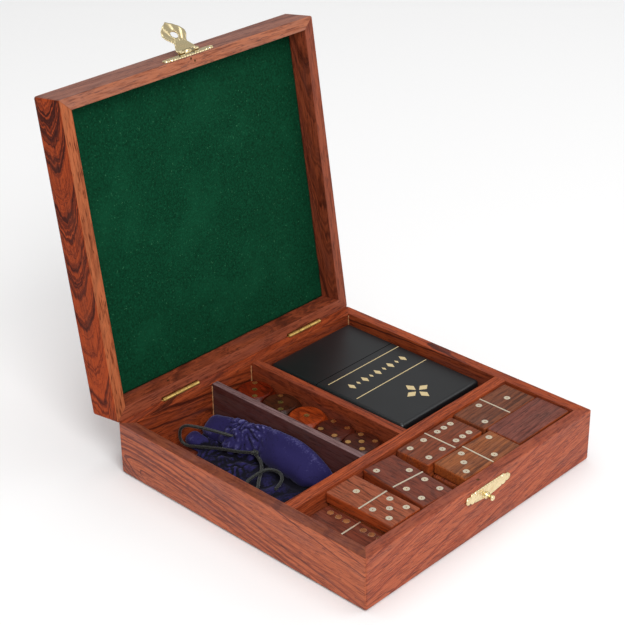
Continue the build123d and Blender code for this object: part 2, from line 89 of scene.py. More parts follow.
def plug(tree: NodeTree, node: Node, **inputs: object) -> None:
    """Link outputs to a node's sockets, and set plain values on the sockets themselves.

    Args:
        tree: node tree that holds the node.
        node: the node.
        inputs: socket name with underscores for spaces, or "n" and its number, to a value or output.
    """
    for name, value in inputs.items():
        key = int(name[1:]) if name[1:].isdigit() else name.replace("_", " ")
        if isinstance(value, NodeSocket):
            tree.links.new(value, node.inputs[key])
        else:
            node.inputs[key].default_value = value


def add_node(
    tree: NodeTree, kind: str, settings: dict[str, object] | None = None, **inputs: object
) -> Node:
    """Add one shader node with its settings and links.

    Args:
        tree: node tree that gets the node.
        kind: node type without its "ShaderNode" prefix.
        settings: attributes of the node; "stops" holds a colour ramp's positions and colours.
        inputs: values and outputs for its sockets, named as in plug.

    Returns:
        The new node.
    """
    node = tree.nodes.new("ShaderNode" + kind)
    for name, value in (settings or {}).items():
        if name != "stops":
            setattr(node, name, value)
            continue
        elements = node.color_ramp.elements
        while len(elements) < len(value):
            elements.new(0.5)
        for element, (position, colour) in zip(elements, value):
            element.position = position
            element.color = colour
    plug(tree, node, **inputs)
    return node


def new_material(name: str) -> tuple[Material, NodeTree, Node]:
    """Make a node material with only its output and a Principled shader.

    Args:
        name: the real material and how its surface was made.

    Returns:
        The material, its node tree and its shader.
    """
    material = bpy.data.materials.new(name)
    material.use_nodes = True
    tree = material.node_tree
    tree.nodes.clear()
    shader = add_node(tree, "BsdfPrincipled")
    add_node(tree, "OutputMaterial", Surface=shader.outputs[0])
    return material, tree, shader


def board_space(tree: NodeTree, grain: Grain = Grain.ALONG_X) -> NodeSocket:
    """Object coordinates in millimetres, turned for a board's grain and as if the lid were closed.

    Args:
        tree: node tree that gets the nodes.
        grain: how the board lies.

    Returns:
        The vector output.
    """
    pitch, yaw = (math.radians(angle) for angle in grain.value)
    turn = Euler((pitch, 0.0, yaw))
    shift = Euler((0.0, 0.0, yaw)).to_matrix() @ PIVOT - turn.to_matrix() @ PIVOT
    place = add_node(tree, "TexCoord").outputs["Object"]
    mapping = add_node(tree, "Mapping", Vector=place, Location=shift, Rotation=turn, Scale=(1000.0,) * 3)
    return mapping.outputs[0]


@dataclass(frozen=True)
class WoodFinish:
    """Rosewood, planed, sanded and oiled.

    Growth rings are distances from a heart line near the board, so they run in long streaks and
    close into arches where the board cuts across them. The oil leaves a low satin sheen, open pores
    show as short dark dashes along the grain, and edges are paler, as rubbed wear and painted highlight.

    Attributes:
        name: the wood and how the board was worked.
        light: tone between the rings.
        mid: tone of the rings' flanks.
        dark: tone of the rings and the pores.
        haze: tone of the bloom on the oil.
        side: tone of upright faces, where it differs.
        rim: tone of flat faces, where it differs.
        grain: how the board lies.
        heart: place of the heart line across the grain, in millimetres.
        ring: width of a ring in millimetres.
        sway: how far the rings bend over centimetres.
        ripple: how far they bend over millimetres.
        taper: how far the rings drift from the heart line, per millimetre along the board.
        tilt: slope of the grain on the board's face.
        crown: how far the rings drift besides at the far end, in millimetres.
        doubling: length over which that drift doubles, in millimetres.
        spread: contrast at the near end and at the far end.
        fineness: share of the finest streaks.
        seed: tells one board from another.
        roughness: middle roughness of the surface.
        gloss: strength of its reflections.
    """

    name: str
    light: str
    mid: str
    dark: str
    haze: str = "#70403A"
    side: str | None = None
    rim: str | None = None
    grain: Grain = Grain.ALONG_X
    heart: tuple[float, float] = (40.0, -40.0)
    ring: float = 3.0
    sway: float = 3.0
    ripple: float = 0.7
    taper: float = 0.05
    tilt: float = 0.0
    crown: float = 0.0
    doubling: float = 18.0
    spread: tuple[float, float] = (1.0, 1.0)
    fineness: float = 0.74
    seed: float = 0.0
    roughness: float = 0.5
    gloss: float = 0.18

    def rings(self, tree: NodeTree, place: NodeSocket) -> NodeSocket:
        """Ring value: noise along one line, read at the bent distance from the heart line.

        Args:
            tree: node tree that gets the nodes.
            place: board coordinates in millimetres.

        Returns:
            Number output around one half.
        """
        bent = place
        # Broad sway over centimetres, then a ripple over millimetres, both drawn out along the grain
        for amount, stretch, size in ((self.sway, 0.14, 15.0), (self.ripple, 0.3, 3.6)):
            drawn = add_node(
                tree, "VectorMath", {"operation": "MULTIPLY"}, n0=place, n1=(stretch, 1.0, 1.0)
            )
            waves = add_node(
                tree, "TexNoise", {"noise_dimensions": "4D"}, Vector=drawn.outputs[0], W=self.seed * 1.7,
                Scale=1.0 / size, Detail=3.0, Roughness=0.55,
            )
            centred = add_node(
                tree, "VectorMath", {"operation": "SUBTRACT"}, n0=waves.outputs["Color"], n1=(0.5, 0.5, 0.5)
            )
            bent = add_node(
                tree, "VectorMath", {"operation": "MULTIPLY_ADD"}, n0=centred.outputs[0],
                n1=(0.0, 2 * amount, 2 * amount), n2=bent,
            ).outputs[0]
        parts = add_node(tree, "SeparateXYZ", Vector=bent)
        lift = add_node(
            tree, "Math", {"operation": "MULTIPLY_ADD"}, n0=parts.outputs[0], n1=-self.tilt,
            n2=parts.outputs[2],
        )
        across = add_node(tree, "CombineXYZ", Y=parts.outputs[1], Z=lift.outputs[0])
        away = add_node(
            tree, "VectorMath", {"operation": "DISTANCE"}, n0=across.outputs[0], n1=(0.0, *self.heart)
        )
        radius = add_node(
            tree, "Math", {"operation": "MULTIPLY_ADD"}, n0=parts.outputs[0], n1=self.taper,
            n2=away.outputs["Value"],
        )
        # Towards the board's far end the rings crowd
        steps = add_node(
            tree, "Math", {"operation": "MULTIPLY_ADD"}, n0=parts.outputs[0], n1=1 / self.doubling,
            n2=-HALF_DEPTH / self.doubling,
        )
        crowd = add_node(tree, "Math", {"operation": "POWER"}, n0=2.0, n1=steps.outputs[0])
        grown = add_node(
            tree, "Math", {"operation": "MULTIPLY_ADD"}, n0=crowd.outputs[0], n1=self.crown,
            n2=radius.outputs[0],
        )
        phase = add_node(
            tree, "Math", {"operation": "MULTIPLY_ADD"}, n0=grown.outputs[0], n1=1.0 / self.ring,
            n2=self.seed * 5.3,
        )
        streaks = add_node(
            tree, "TexNoise", {"noise_dimensions": "1D"}, W=phase.outputs[0], Scale=1.0, Detail=5.0,
            Roughness=self.fineness,
        )
        return streaks.outputs[0]

    def figure(self, tree: NodeTree, place: NodeSocket) -> NodeSocket:
        """Colour of the rings: their value, spread about its middle, over a ramp of the three tones.

        Args:
            tree: node tree that gets the nodes.
            place: board coordinates in millimetres.

        Returns:
            The colour output.
        """
        streaks = self.rings(tree, place)
        length = add_node(tree, "SeparateXYZ", Vector=place).outputs[0]
        spread = add_node(
            tree, "MapRange", Value=length, From_Min=-HALF_DEPTH, From_Max=HALF_DEPTH,
            To_Min=self.spread[0], To_Max=self.spread[1],
        )
        centred = add_node(tree, "Math", {"operation": "SUBTRACT"}, n0=streaks, n1=0.5)
        value = add_node(
            tree, "Math", {"operation": "MULTIPLY_ADD"}, n0=centred.outputs[0], n1=spread.outputs[0], n2=0.52
        )
        return add_node(tree, "ValToRGB", {"stops": [
            (0.33, linear(self.dark)), (0.43, linear(self.mid)), (0.53, linear(self.light)),
            (0.64, linear(self.mid)), (0.78, linear(self.dark)),
        ]}, Fac=value.outputs[0]).outputs[0]

    def bloomed(self, tree: NodeTree, place: NodeSocket, colour: NodeSocket) -> NodeSocket:
        """Colour under a grey bloom, in drifts 7 mm wide and five times as long.

        Args:
            tree: node tree that gets the nodes.
            place: board coordinates in millimetres.
            colour: colour of the wood.

        Returns:
            The mixed colour.
        """
        drift = add_node(tree, "VectorMath", {"operation": "MULTIPLY"}, n0=place, n1=(0.2, 1.0, 1.0))
        bloom = add_node(
            tree, "TexNoise", {"noise_dimensions": "4D"}, Vector=drift.outputs[0], W=self.seed + 3.0,
            Scale=1 / 7, Detail=4.0, Roughness=0.6,
        )
        share = add_node(
            tree, "MapRange", Value=bloom.outputs[0], From_Min=0.48, From_Max=0.70, To_Min=0.0, To_Max=0.5
        )
        return add_node(
            tree, "Mix", {"data_type": "RGBA"}, n0=share.outputs[0], n6=colour, n7=linear(self.haze)
        ).outputs[2]

    def grained(
        self, tree: NodeTree, place: NodeSocket, colour: NodeSocket
    ) -> tuple[NodeSocket, NodeSocket, NodeSocket]:
        """Colour with its fibres and pores.

        Fibres 0.1 mm wide are drawn at 0.9 mm, and pores 0.2 mm wide at 0.6 mm, so that they show.

        Args:
            tree: node tree that gets the nodes.
            place: board coordinates in millimetres.
            colour: colour of the wood.

        Returns:
            The mixed colour, the fibres' value and the pores' value.
        """
        threads = add_node(tree, "VectorMath", {"operation": "MULTIPLY"}, n0=place, n1=(0.07, 1.0, 1.0))
        fibre = add_node(
            tree, "TexNoise", Vector=threads.outputs[0], Scale=1 / 0.9, Detail=4.0, Roughness=0.7
        )
        shade = add_node(tree, "ValToRGB", {"stops": [
            (0.32, linear("#98786F")), (0.50, linear("#F4EEEA")), (0.70, linear("#FFFFFF")),
        ]}, Fac=fibre.outputs[0])
        colour = add_node(
            tree, "Mix", {"data_type": "RGBA", "blend_type": "MULTIPLY"}, n0=0.85, n6=colour,
            n7=shade.outputs[0],
        ).outputs[2]
        dashes = add_node(tree, "VectorMath", {"operation": "MULTIPLY"}, n0=place, n1=(0.12, 1.0, 1.0))
        holes = add_node(tree, "TexNoise", Vector=dashes.outputs[0], Scale=1 / 0.6, Detail=1.0)
        pores = add_node(
            tree, "MapRange", Value=holes.outputs[0], From_Min=0.59, From_Max=0.69, To_Min=0.0, To_Max=0.7
        )
        colour = add_node(
            tree, "Mix", {"data_type": "RGBA"}, n0=pores.outputs[0], n6=colour, n7=linear(self.dark)
        ).outputs[2]
        return colour, fibre.outputs[0], pores.outputs[0]

    def rubbed(self, tree: NodeTree, colour: NodeSocket) -> tuple[NodeSocket, NodeSocket]:
        """Colour with its edges pale, as rubbed wear and painted highlight, where a rounded normal turns away
        from the flat one.

        Args:
            tree: node tree that gets the nodes.
            colour: colour of the wood.

        Returns:
            The mixed colour and the rounded normal.
        """
        eased = add_node(tree, "Bevel", {"samples": 4}, Radius=0.7 * MM).outputs[0]
        flat = add_node(tree, "NewGeometry").outputs["Normal"]
        same = add_node(tree, "VectorMath", {"operation": "DOT_PRODUCT"}, n0=eased, n1=flat)
        # Rubbed wear and painted highlight: paler where the rounded normal turns away from the flat one
        share = add_node(
            tree, "MapRange", Value=same.outputs["Value"], From_Min=0.98, From_Max=0.80, To_Min=0.0,
            To_Max=0.4,
        )
        colour = add_node(
            tree, "Mix", {"data_type": "RGBA"}, n0=share.outputs[0], n6=colour, n7=linear(self.light)
        ).outputs[2]
        return colour, eased

    def build(self) -> Material:
        """Make the material: the figure, the bloom, the grain and the edges paled by wear and painted
        highlight, one over the other.

        Returns:
            The material.
        """
        material, tree, shader = new_material(self.name)
        place = board_space(tree, self.grain)
        colour = self.by_facing(tree, self.figure(tree, place))
        colour = self.bloomed(tree, place, colour)
        colour, fibre, pores = self.grained(tree, place, colour)
        colour, eased = self.rubbed(tree, colour)
        rough = add_node(
            tree, "Math", {"operation": "MULTIPLY_ADD"}, n0=fibre, n1=0.2, n2=self.roughness - 0.1
        )
        relief = add_node(tree, "Math", {"operation": "SUBTRACT"}, n0=fibre, n1=pores)
        bump = add_node(
            tree, "Bump", Strength=0.35, Distance=0.12 * MM, Height=relief.outputs[0], Normal=eased
        )
        plug(
            tree, shader, Base_Color=colour, Roughness=rough.outputs[0], Normal=bump.outputs[0], IOR=1.46,
            Specular_IOR_Level=self.gloss,
        )
        return material

    def by_facing(self, tree: NodeTree, colour: NodeSocket) -> NodeSocket:
        """Other tones on upright faces or on flat ones: on boards cut along or across their rings, and beside
        tones that hold a painted reflection, as on the tiles' tops.

        Args:
            tree: node tree that gets the nodes.
            colour: colour of all faces.

        Returns:
            The mixed colour.
        """
        if not self.side and not self.rim:
            return colour
        turn = Euler((math.radians(self.grain.value[0]), 0.0, 0.0))
        normal = add_node(tree, "TexCoord").outputs["Normal"]
        closed = add_node(tree, "Mapping", {"vector_type": "VECTOR"}, Vector=normal, Rotation=turn)
        up = add_node(tree, "SeparateXYZ", Vector=closed.outputs[0]).outputs[2]
        level = add_node(tree, "Math", {"operation": "ABSOLUTE"}, n0=up).outputs[0]
        for tone, start, end in ((self.side, 0.85, 0.45), (self.rim, 0.45, 0.85)):
            if tone:
                share = add_node(
                    tree, "MapRange", Value=level, From_Min=start, From_Max=end, To_Min=0.0, To_Max=0.75
                )
                colour = add_node(
                    tree, "Mix", {"data_type": "RGBA"}, n0=share.outputs[0], n6=colour, n7=linear(tone)
                ).outputs[2]
        return colour


@dataclass(frozen=True)
class FeltFinish:
    """Wool felt, pressed and napped: deep green and matt, with short fibres, lint and rubbed patches.

    Fibres 0.03 mm thick are drawn as tufts of 1.1 mm, lint as specks of 0.8 mm, and rubbed patches
    are about 24 mm across.
    """

    name: str = "wool felt, pressed"
    deep: str = "#012A17"
    face: str = "#033B24"
    rubbed: str = "#0E5034"
    lint: str = "#3B7A55"
    sheen: str = "#2C7A4E"

    def build(self) -> Material:
        """Make the material.

        Returns:
            The material.
        """
        material, tree, shader = new_material(self.name)
        place = board_space(tree)
        nap = add_node(tree, "TexNoise", Vector=place, Scale=1 / 1.1, Detail=4.0, Roughness=0.7)
        colour = add_node(tree, "ValToRGB", {"stops": [
            (0.32, linear(self.deep)), (0.52, linear(self.face)), (0.76, linear(self.rubbed)),
        ]}, Fac=nap.outputs[0])
        wear = add_node(tree, "TexNoise", Vector=place, Scale=1 / 24, Detail=3.0)
        worn = add_node(
            tree, "MapRange", Value=wear.outputs[0], From_Min=0.5, From_Max=0.72, To_Min=0.0, To_Max=0.35
        )
        colour = add_node(
            tree, "Mix", {"data_type": "RGBA"}, n0=worn.outputs[0], n6=colour.outputs[0],
            n7=linear(self.rubbed),
        )
        specks = add_node(tree, "TexNoise", Vector=place, Scale=1 / 0.8, Detail=0.0)
        lint = add_node(
            tree, "MapRange", Value=specks.outputs[0], From_Min=0.77, From_Max=0.82, To_Min=0.0, To_Max=0.5
        )
        colour = add_node(
            tree, "Mix", {"data_type": "RGBA"}, n0=lint.outputs[0], n6=colour.outputs[2], n7=linear(self.lint)
        )
        bump = add_node(tree, "Bump", Strength=0.5, Distance=0.3 * MM, Height=nap.outputs[0])
        plug(
            tree, shader, Base_Color=colour.outputs[2], Normal=bump.outputs[0], Roughness=0.95,
            Specular_IOR_Level=0.1, Sheen_Weight=0.08, Sheen_Roughness=0.6, Sheen_Tint=linear(self.sheen),
        )
        return material


@dataclass(frozen=True)
class MetalFinish:
    """Brass, stamped, drawn or inlaid, or metal foil: warm and bright, with brown stains 3 mm across."""

    name: str
    bright: str = "#EEDDB0"
    dull: str = "#B99A62"
    roughness: float = 0.22
    tarnish: float = 0.35
    metallic: float = 1.0

    def build(self) -> Material:
        """Make the material.

        Returns:
            The material.
        """
        material, tree, shader = new_material(self.name)
        place = board_space(tree)
        stain = add_node(tree, "TexNoise", Vector=place, Scale=1 / 3, Detail=3.0, Roughness=0.6)
        share = add_node(
            tree, "MapRange", Value=stain.outputs[0], From_Min=0.42, From_Max=0.70, To_Min=0.0,
            To_Max=self.tarnish,
        )
        colour = add_node(
            tree, "Mix", {"data_type": "RGBA"}, n0=share.outputs[0], n6=linear(self.bright),
            n7=linear(self.dull),
        )
        rough = add_node(
            tree, "Math", {"operation": "MULTIPLY_ADD"}, n0=share.outputs[0], n1=0.4, n2=self.roughness
        )
        # Rolling marks 0.05 mm apart are drawn at 0.35 mm
        grit = add_node(tree, "TexNoise", Vector=place, Scale=1 / 0.35, Detail=2.0)
        bump = add_node(tree, "Bump", Strength=0.15, Distance=0.04 * MM, Height=grit.outputs[0])
        plug(
            tree, shader, Base_Color=colour.outputs[2], Roughness=rough.outputs[0], Normal=bump.outputs[0],
            Metallic=self.metallic,
        )
        return material


@dataclass(frozen=True)
class PlasticFinish:
    """ABS, moulded with a fine satin grain that spreads its highlights and keeps the black soft."""

    name: str = "ABS, moulded, satin"
    colour: str = "#0F1113"
    hazed: str = "#191C1F"
    roughness: float = 0.36
    gloss: float = 0.5

    def build(self) -> Material:
        """Make the material.

        Returns:
            The material.
        """
        material, tree, shader = new_material(self.name)
        place = board_space(tree)
        haze = add_node(tree, "TexNoise", Vector=place, Scale=1 / 18, Detail=3.0)
        colour = add_node(
            tree, "Mix", {"data_type": "RGBA"}, n0=haze.outputs[0], n6=linear(self.colour),
            n7=linear(self.hazed),
        )
        # Moulded grain 0.1 mm wide is drawn at 0.5 mm
        grain = add_node(tree, "TexNoise", Vector=place, Scale=1 / 0.5, Detail=3.0, Roughness=0.6)
        rough = add_node(
            tree, "Math", {"operation": "MULTIPLY_ADD"}, n0=grain.outputs[0], n1=0.12,
            n2=self.roughness - 0.06,
        )
        bump = add_node(tree, "Bump", Strength=0.1, Distance=0.04 * MM, Height=grain.outputs[0])
        plug(
            tree, shader, Base_Color=colour.outputs[2], Roughness=rough.outputs[0], Normal=bump.outputs[0],
            IOR=1.54, Specular_IOR_Level=self.gloss,
        )
        return material


@dataclass(frozen=True)
class VelvetFinish:
    """Cotton velvet, cut pile: near black into the pile, greyer and paler where it is brushed over, with a
    painted highlight on fold crests and painted shade in hollows and low down.

    Tufts 0.2 mm wide are drawn at 0.9 mm, and brushed marks are about 9 mm across.
    """

    name: str = "cotton velvet, cut pile"
    deep: str = "#080614"
    face: str = "#282356"
    brushed_and_highlit: str = "#7674AA"
    sheen: str = "#A3A2CC"

    def build(self) -> Material:
        """Make the material.

        Returns:
            The material.
        """
        material, tree, shader = new_material(self.name)
        place = board_space(tree)
        pile = add_node(tree, "TexNoise", Vector=place, Scale=1 / 0.9, Detail=3.0, Roughness=0.65)
        marks = add_node(tree, "TexNoise", Vector=place, Scale=1 / 9, Detail=5.0, Roughness=0.68)
        # Painted highlight on each fold's crest and painted shade in its hollow, read from the mesh's
        # pointiness
        fold = add_node(tree, "NewGeometry").outputs["Pointiness"]
        painted_crest_and_hollow = add_node(tree, "Math", {"operation": "MULTIPLY_ADD"}, n0=fold, n1=1.9, n2=-0.45)
        uneven = add_node(
            tree, "Math", {"operation": "MULTIPLY_ADD"}, n0=pile.outputs[0], n1=0.17, n2=painted_crest_and_hollow.outputs[0]
        )
        both = add_node(
            tree, "Math", {"operation": "MULTIPLY_ADD"}, n0=marks.outputs[0], n1=0.19, n2=uneven.outputs[0]
        )
        # Painted shade: darker low down, where the bag lies on the bay's floor
        height = add_node(tree, "SeparateXYZ", Vector=place).outputs[2]
        painted_low_shade = add_node(
            tree, "MapRange", Value=height, From_Min=6.8, From_Max=9.5, To_Min=-0.09, To_Max=0.0
        )
        value = add_node(tree, "Math", {"operation": "ADD"}, n0=both.outputs[0], n1=painted_low_shade.outputs[0])
        # Ramp from deep pile through its face to brushed pile; the crest and low terms push it into painted
        # highlight and painted shade
        colour = add_node(tree, "ValToRGB", {"stops": [
            (0.59, linear(self.deep)), (0.665, linear(self.face)), (0.715, linear(self.face)),
            (0.84, linear(self.brushed_and_highlit)),
        ]}, Fac=value.outputs[0])
        bump = add_node(tree, "Bump", Strength=0.4, Distance=0.25 * MM, Height=pile.outputs[0])
        plug(
            tree, shader, Base_Color=colour.outputs[0], Normal=bump.outputs[0], Roughness=0.85,
            Specular_IOR_Level=0.2, Sheen_Weight=0.45, Sheen_Roughness=0.35, Sheen_Tint=linear(self.sheen),
        )
        return material


@dataclass(frozen=True)
class CordFinish:
    """Rayon cord, braided: near black, with a painted olive highlight on each strand and painted shade
    between the strands.
    """

    name: str = "rayon cord, braided"
    painted_valley_shade: str = "#080906"
    strand: str = "#2A2D22"

    def build(self) -> Material:
        """Make the material.

        Returns:
            The material.
        """
        material, tree, shader = new_material(self.name)
        place = board_space(tree)
        # Strands 0.2 mm wide are drawn at 0.6 mm so that they show, with a painted highlight at their middles
        # and painted shade between them
        braid = add_node(tree, "TexVoronoi", Vector=place, Scale=1 / 0.6).outputs["Distance"]
        colour = add_node(tree, "ValToRGB", {"stops": [
            (0.15, linear(self.strand)), (0.55, linear(self.painted_valley_shade)),
        ]}, Fac=braid)
        bump = add_node(tree, "Bump", {"invert": True}, Strength=0.6, Distance=0.2 * MM, Height=braid)
        plug(
            tree, shader, Base_Color=colour.outputs[0], Normal=bump.outputs[0], Roughness=0.5,
            Sheen_Weight=0.3,
        )
        return material


@dataclass(frozen=True)
class CardFinish:
    """Coated card, guillotined in a stack: pale edges in fine lines."""

    name: str = "coated card, cut edges"
    edge: str = "#EFEBE1"
    gap: str = "#B9B2A2"

    def build(self) -> Material:
        """Make the material.

        Returns:
            The material.
        """
        material, tree, shader = new_material(self.name)
        place = board_space(tree)
        # Cards 0.3 mm thick are drawn at 1 mm
        edges = add_node(tree, "TexWave", {"bands_direction": "Z"}, Vector=place, Scale=0.3, Distortion=0.4)
        colour = add_node(
            tree, "Mix", {"data_type": "RGBA"}, n0=edges.outputs[0], n6=linear(self.gap), n7=linear(self.edge)
        )
        plug(tree, shader, Base_Color=colour.outputs[2], Roughness=0.5)
        return material


@dataclass(frozen=True)
class GlueAndHighlightFinish:
    """Wood glue, dried: amber and half clear, with rosewood dust in it, pale so that it paints the highlight
    along each joint.
    """

    name: str = "wood glue, dried, painted joint highlight"
    clear: str = "#D2A06E"
    dusty: str = "#9A5A38"

    def build(self) -> Material:
        """Make the material.

        Returns:
            The material.
        """
        material, tree, shader = new_material(self.name)
        dust = add_node(tree, "TexNoise", Vector=board_space(tree), Scale=1 / 1.5, Detail=3.0)
        colour = add_node(
            tree, "Mix", {"data_type": "RGBA"}, n0=dust.outputs[0], n6=linear(self.clear),
            n7=linear(self.dusty),
        )
        plug(tree, shader, Base_Color=colour.outputs[2], Roughness=0.3)
        return material


def smooth_piece(
    name: str, points: np.ndarray, faces: list[list[int]] | np.ndarray, material: Material,
    smooth: bool = True,
) -> Object:
    """Make an object from arrays, at the origin, with its doubles merged and its faces outwards.

    Args:
        name: the piece's name.
        points: x, y and z in millimetres, in an array whose last axis has length three.
        faces: rows of vertex numbers.
        material: its finish.
        smooth: whether its faces are shaded smooth.

    Returns:
        The linked object.
    """
    mesh = bpy.data.meshes.new(name)
    mesh.from_pydata((points.reshape(-1, 3) * MM).tolist(), [], [list(map(int, face)) for face in faces])
    mesh.materials.append(material)
    work = bmesh.new()
    work.from_mesh(mesh)
    bmesh.ops.remove_doubles(work, verts=work.verts, dist=1e-7)
    bmesh.ops.recalc_face_normals(work, faces=work.faces)
    work.to_mesh(mesh)
    work.free()
    mesh.polygons.foreach_set("use_smooth", np.full(len(mesh.polygons), smooth))
    piece = bpy.data.objects.new(name, mesh)
    bpy.context.scene.collection.objects.link(piece)
    return piece


def settle(piece: Object, body: str, slot: str | None, *nodes: str) -> Object:
    """Let a piece ride on a body and stand in for the solids it replaces.

    Args:
        piece: the finished piece.
        body: body that carries it.
        slot: material slot of the record, if it has one; not used.
        nodes: solids that it replaces.

    Returns:
        The same piece.
    """
    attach(piece, body)
    if nodes:
        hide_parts(*nodes)
    LOG.info("made %s", piece.name)
    return piece


def dress(node: str, material: Material) -> None:
    """Give a carried-over solid its finish.

    Args:
        node: the solid.
        material: its finish.
    """
    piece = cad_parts[node]
    piece.data.materials.clear()
    piece.data.materials.append(material)
    LOG.info("dressed %s", node)


def grid_faces(rows: int, columns: int, closed: bool = False, start: int = 0) -> np.ndarray:
    """Quads of a grid of vertices numbered row by row.

    Args:
        rows: number of rows.
        columns: number of columns.
        closed: whether the last column joins the first.
        start: number of the first vertex.

    Returns:
        One row of four vertex numbers for each quad.
    """
    across = columns if closed else columns - 1
    row, column = np.meshgrid(np.arange(rows - 1), np.arange(across), indexing="ij")
    after = (column + 1) % columns
    near, far = row * columns, (row + 1) * columns
    quads = np.stack([near + column, near + after, far + after, far + column], -1)
    return quads.reshape(-1, 4) + start


def capped_tube(rows: int, columns: int, start: int = 0) -> list[list[int]]:
    """Faces of a tube of closed rows, with its first and last row filled in.

    Args:
        rows: number of closed rows.
        columns: vertices in each row.
        start: number of the first vertex.

    Returns:
        Faces as lists of vertex numbers.
    """
    first = list(range(start, start + columns))
    last = [(rows - 1) * columns + number for number in first]
    return grid_faces(rows, columns, closed=True, start=start).tolist() + [first, last]


def swung(points: np.ndarray, pin_y: float, pin_z: float, degrees: float) -> np.ndarray:
    """Points turned about a pin that runs along X.

    The new y is the pin's, plus dy times the cosine and dz times the sine; the new z is the pin's,
    less dy times the sine, plus dz times the cosine.

    Args:
        points: x, y and z in millimetres along the last axis.
        pin_y: the pin's place along the depth.
        pin_z: its height.
        degrees: how far the points swing back.

    Returns:
        The turned points.
    """
    angle = math.radians(degrees)
    y, z = points[..., 1] - pin_y, points[..., 2] - pin_z
    turned = points.copy()
    turned[..., 1] = pin_y + y * math.cos(angle) + z * math.sin(angle)
    turned[..., 2] = pin_z - y * math.sin(angle) + z * math.cos(angle)
    return turned


def opened(points: np.ndarray) -> np.ndarray:
    """Points of the closed lid, swung about the hinge pins to where they rest open."""
    return swung(points, HALF_DEPTH, PIVOT_Z, OPEN_ANGLE)


def catmull(keys: np.ndarray, samples: int, closed: bool = False) -> np.ndarray:
    """Smooth curve through key values, along the first axis.

    Each span is the cubic whose slope at a key is half the difference of its neighbours.

    Args:
        keys: array whose rows are the key values.
        samples: number of rows to return.
        closed: whether the curve joins up.

    Returns:
        The sampled rows.
    """
    count = len(keys)
    spans = count if closed else count - 1
    place = np.linspace(0, spans, samples, endpoint=not closed)
    index = np.minimum(place.astype(int), spans - 1)
    share = (place - index).reshape(-1, *([1] * (keys.ndim - 1)))
    steps = [(index + k) % count if closed else np.clip(index + k, 0, count - 1) for k in (-1, 0, 1, 2)]
    before, start, end, after = (keys[step] for step in steps)
    return 0.5 * (
        2 * start + (end - before) * share + (2 * before - 5 * start + 4 * end - after) * share ** 2
        + (3 * start - before - 3 * end + after) * share ** 3
    )


@dataclass
class BoxCarcass:
    """Walls, panels and dividers: solids that keep their shape and get boards with their own figure."""

    base_boards: tuple[tuple[str, WoodFinish], ...] = (
        ("base_left_wall", WoodFinish(
            "rosewood, planed, left board", "#CC7048", "#A85439", "#60302C", "#86564E", rim="#5E3022",
            grain=Grain.ALONG_Y, heart=(86.0, -16.2), ring=2.9, sway=2.4, taper=0.15, tilt=0.34, crown=8.0,
            spread=(0.9, 1.15), seed=1.0, gloss=0.3,
        )),
        ("base_front_wall", WoodFinish(
            "rosewood, planed, front board", "#C26A48", "#A24C34", "#64302A", "#845248",
            rim="#9A4E38", heart=(-96.0, -78.0), ring=2.8, sway=2.2, taper=0.04, tilt=0.3,
            spread=(1.0, 0.9), seed=2.0, gloss=0.22,
        )),
        ("base_right_wall", WoodFinish(
            "rosewood, planed, right board", "#B0522C", "#8C3D22", "#4E2118",
            grain=Grain.ALONG_Y, heart=(-86.0, 10.0), ring=3.0, taper=0.12, tilt=0.1, seed=3.0,
        )),
        ("base_back_wall", WoodFinish(
            "rosewood, planed, back board", "#AC4E28", "#84381C", "#4A1C10",
            heart=(90.0, 10.0), ring=3.2, taper=0.1, spread=(1.2, 1.0), seed=4.0,
        )),
        ("trough_divider", WoodFinish(
            "rosewood, planed, trough divider", "#BC5A32", "#984424", "#5A281A",
            heart=(10.0, 60.0), ring=3.2, seed=5.0,
        )),
        ("card_divider", WoodFinish(
            "rosewood, planed, card divider", "#A64E2E", "#843A20", "#4A2014",
            grain=Grain.ALONG_Y, heart=(-50.0, 30.0), ring=3.2, seed=6.0,
        )),
        ("base_bottom_panel", WoodFinish(
            "rosewood, planed, bottom panel", "#7A3520", "#5C2617", "#34160F",
            heart=(30.0, -50.0), ring=5.0, seed=7.0,
        )),
        ("dice_divider", WoodFinish(
            "rosewood ply, sliced, dice divider", "#8E7274", "#775C5E", "#543C3E", "#6A5450", side="#541A0A",
            grain=Grain.ALONG_Y, heart=(50.0, 30.0), ring=3.0, seed=8.0,
        )),
    )
    lid_boards: tuple[tuple[str, WoodFinish], ...] = (
        ("lid_left_wall", WoodFinish(
            "rosewood, planed, lid left board", "#B84E22", "#863418", "#46180E", "#6A3626",
            rim="#C0734C", grain=Grain.LID_Y, heart=(94.0, 41.5), ring=2.7, sway=2.6, ripple=1.7, taper=0.34,
            spread=(1.9, 1.0), fineness=0.62, seed=9.0, gloss=0.06,
        )),
        # Tones greyed to mauve: a painted reflection of the pale room on the outer face, which looks up with
        # the lid open; the rim keeps the wood's orange
        ("lid_front_wall", WoodFinish(
            "rosewood, planed, lid front board, painted reflection", "#A6705E", "#8A594B", "#63403A", "#8E6E66",
            rim="#BC7250", grain=Grain.LID_X, heart=(100.0, -40.0), ring=3.2, seed=10.0,
        )),
        ("lid_right_wall", WoodFinish(
            "rosewood, planed, lid right board", "#A85234", "#823C26", "#4E241A", rim="#9A5238",
            grain=Grain.LID_Y, heart=(-92.0, 30.0), ring=3.2, taper=0.12, seed=11.0,
        )),
        ("lid_back_wall", WoodFinish(
            "rosewood, planed, lid back board", "#A85234", "#823C26", "#4E241A", rim="#9A5238",
            grain=Grain.LID_X, heart=(-90.0, 40.0), ring=3.2, taper=0.08, seed=12.0,
        )),
        ("lid_top_panel", WoodFinish(
            "rosewood, planed, lid panel", "#AA4E28", "#84391E", "#4A1F14",
            grain=Grain.LID_X, heart=(8.0, 54.0), ring=6.0, sway=8.0, taper=0.12, tilt=0.02, seed=13.0,
        )),
    )

    def dress_boards(self) -> None:
        """Finish every board of the base and the lid."""
        for node, finish in self.base_boards + self.lid_boards:
            dress(node, finish.build())


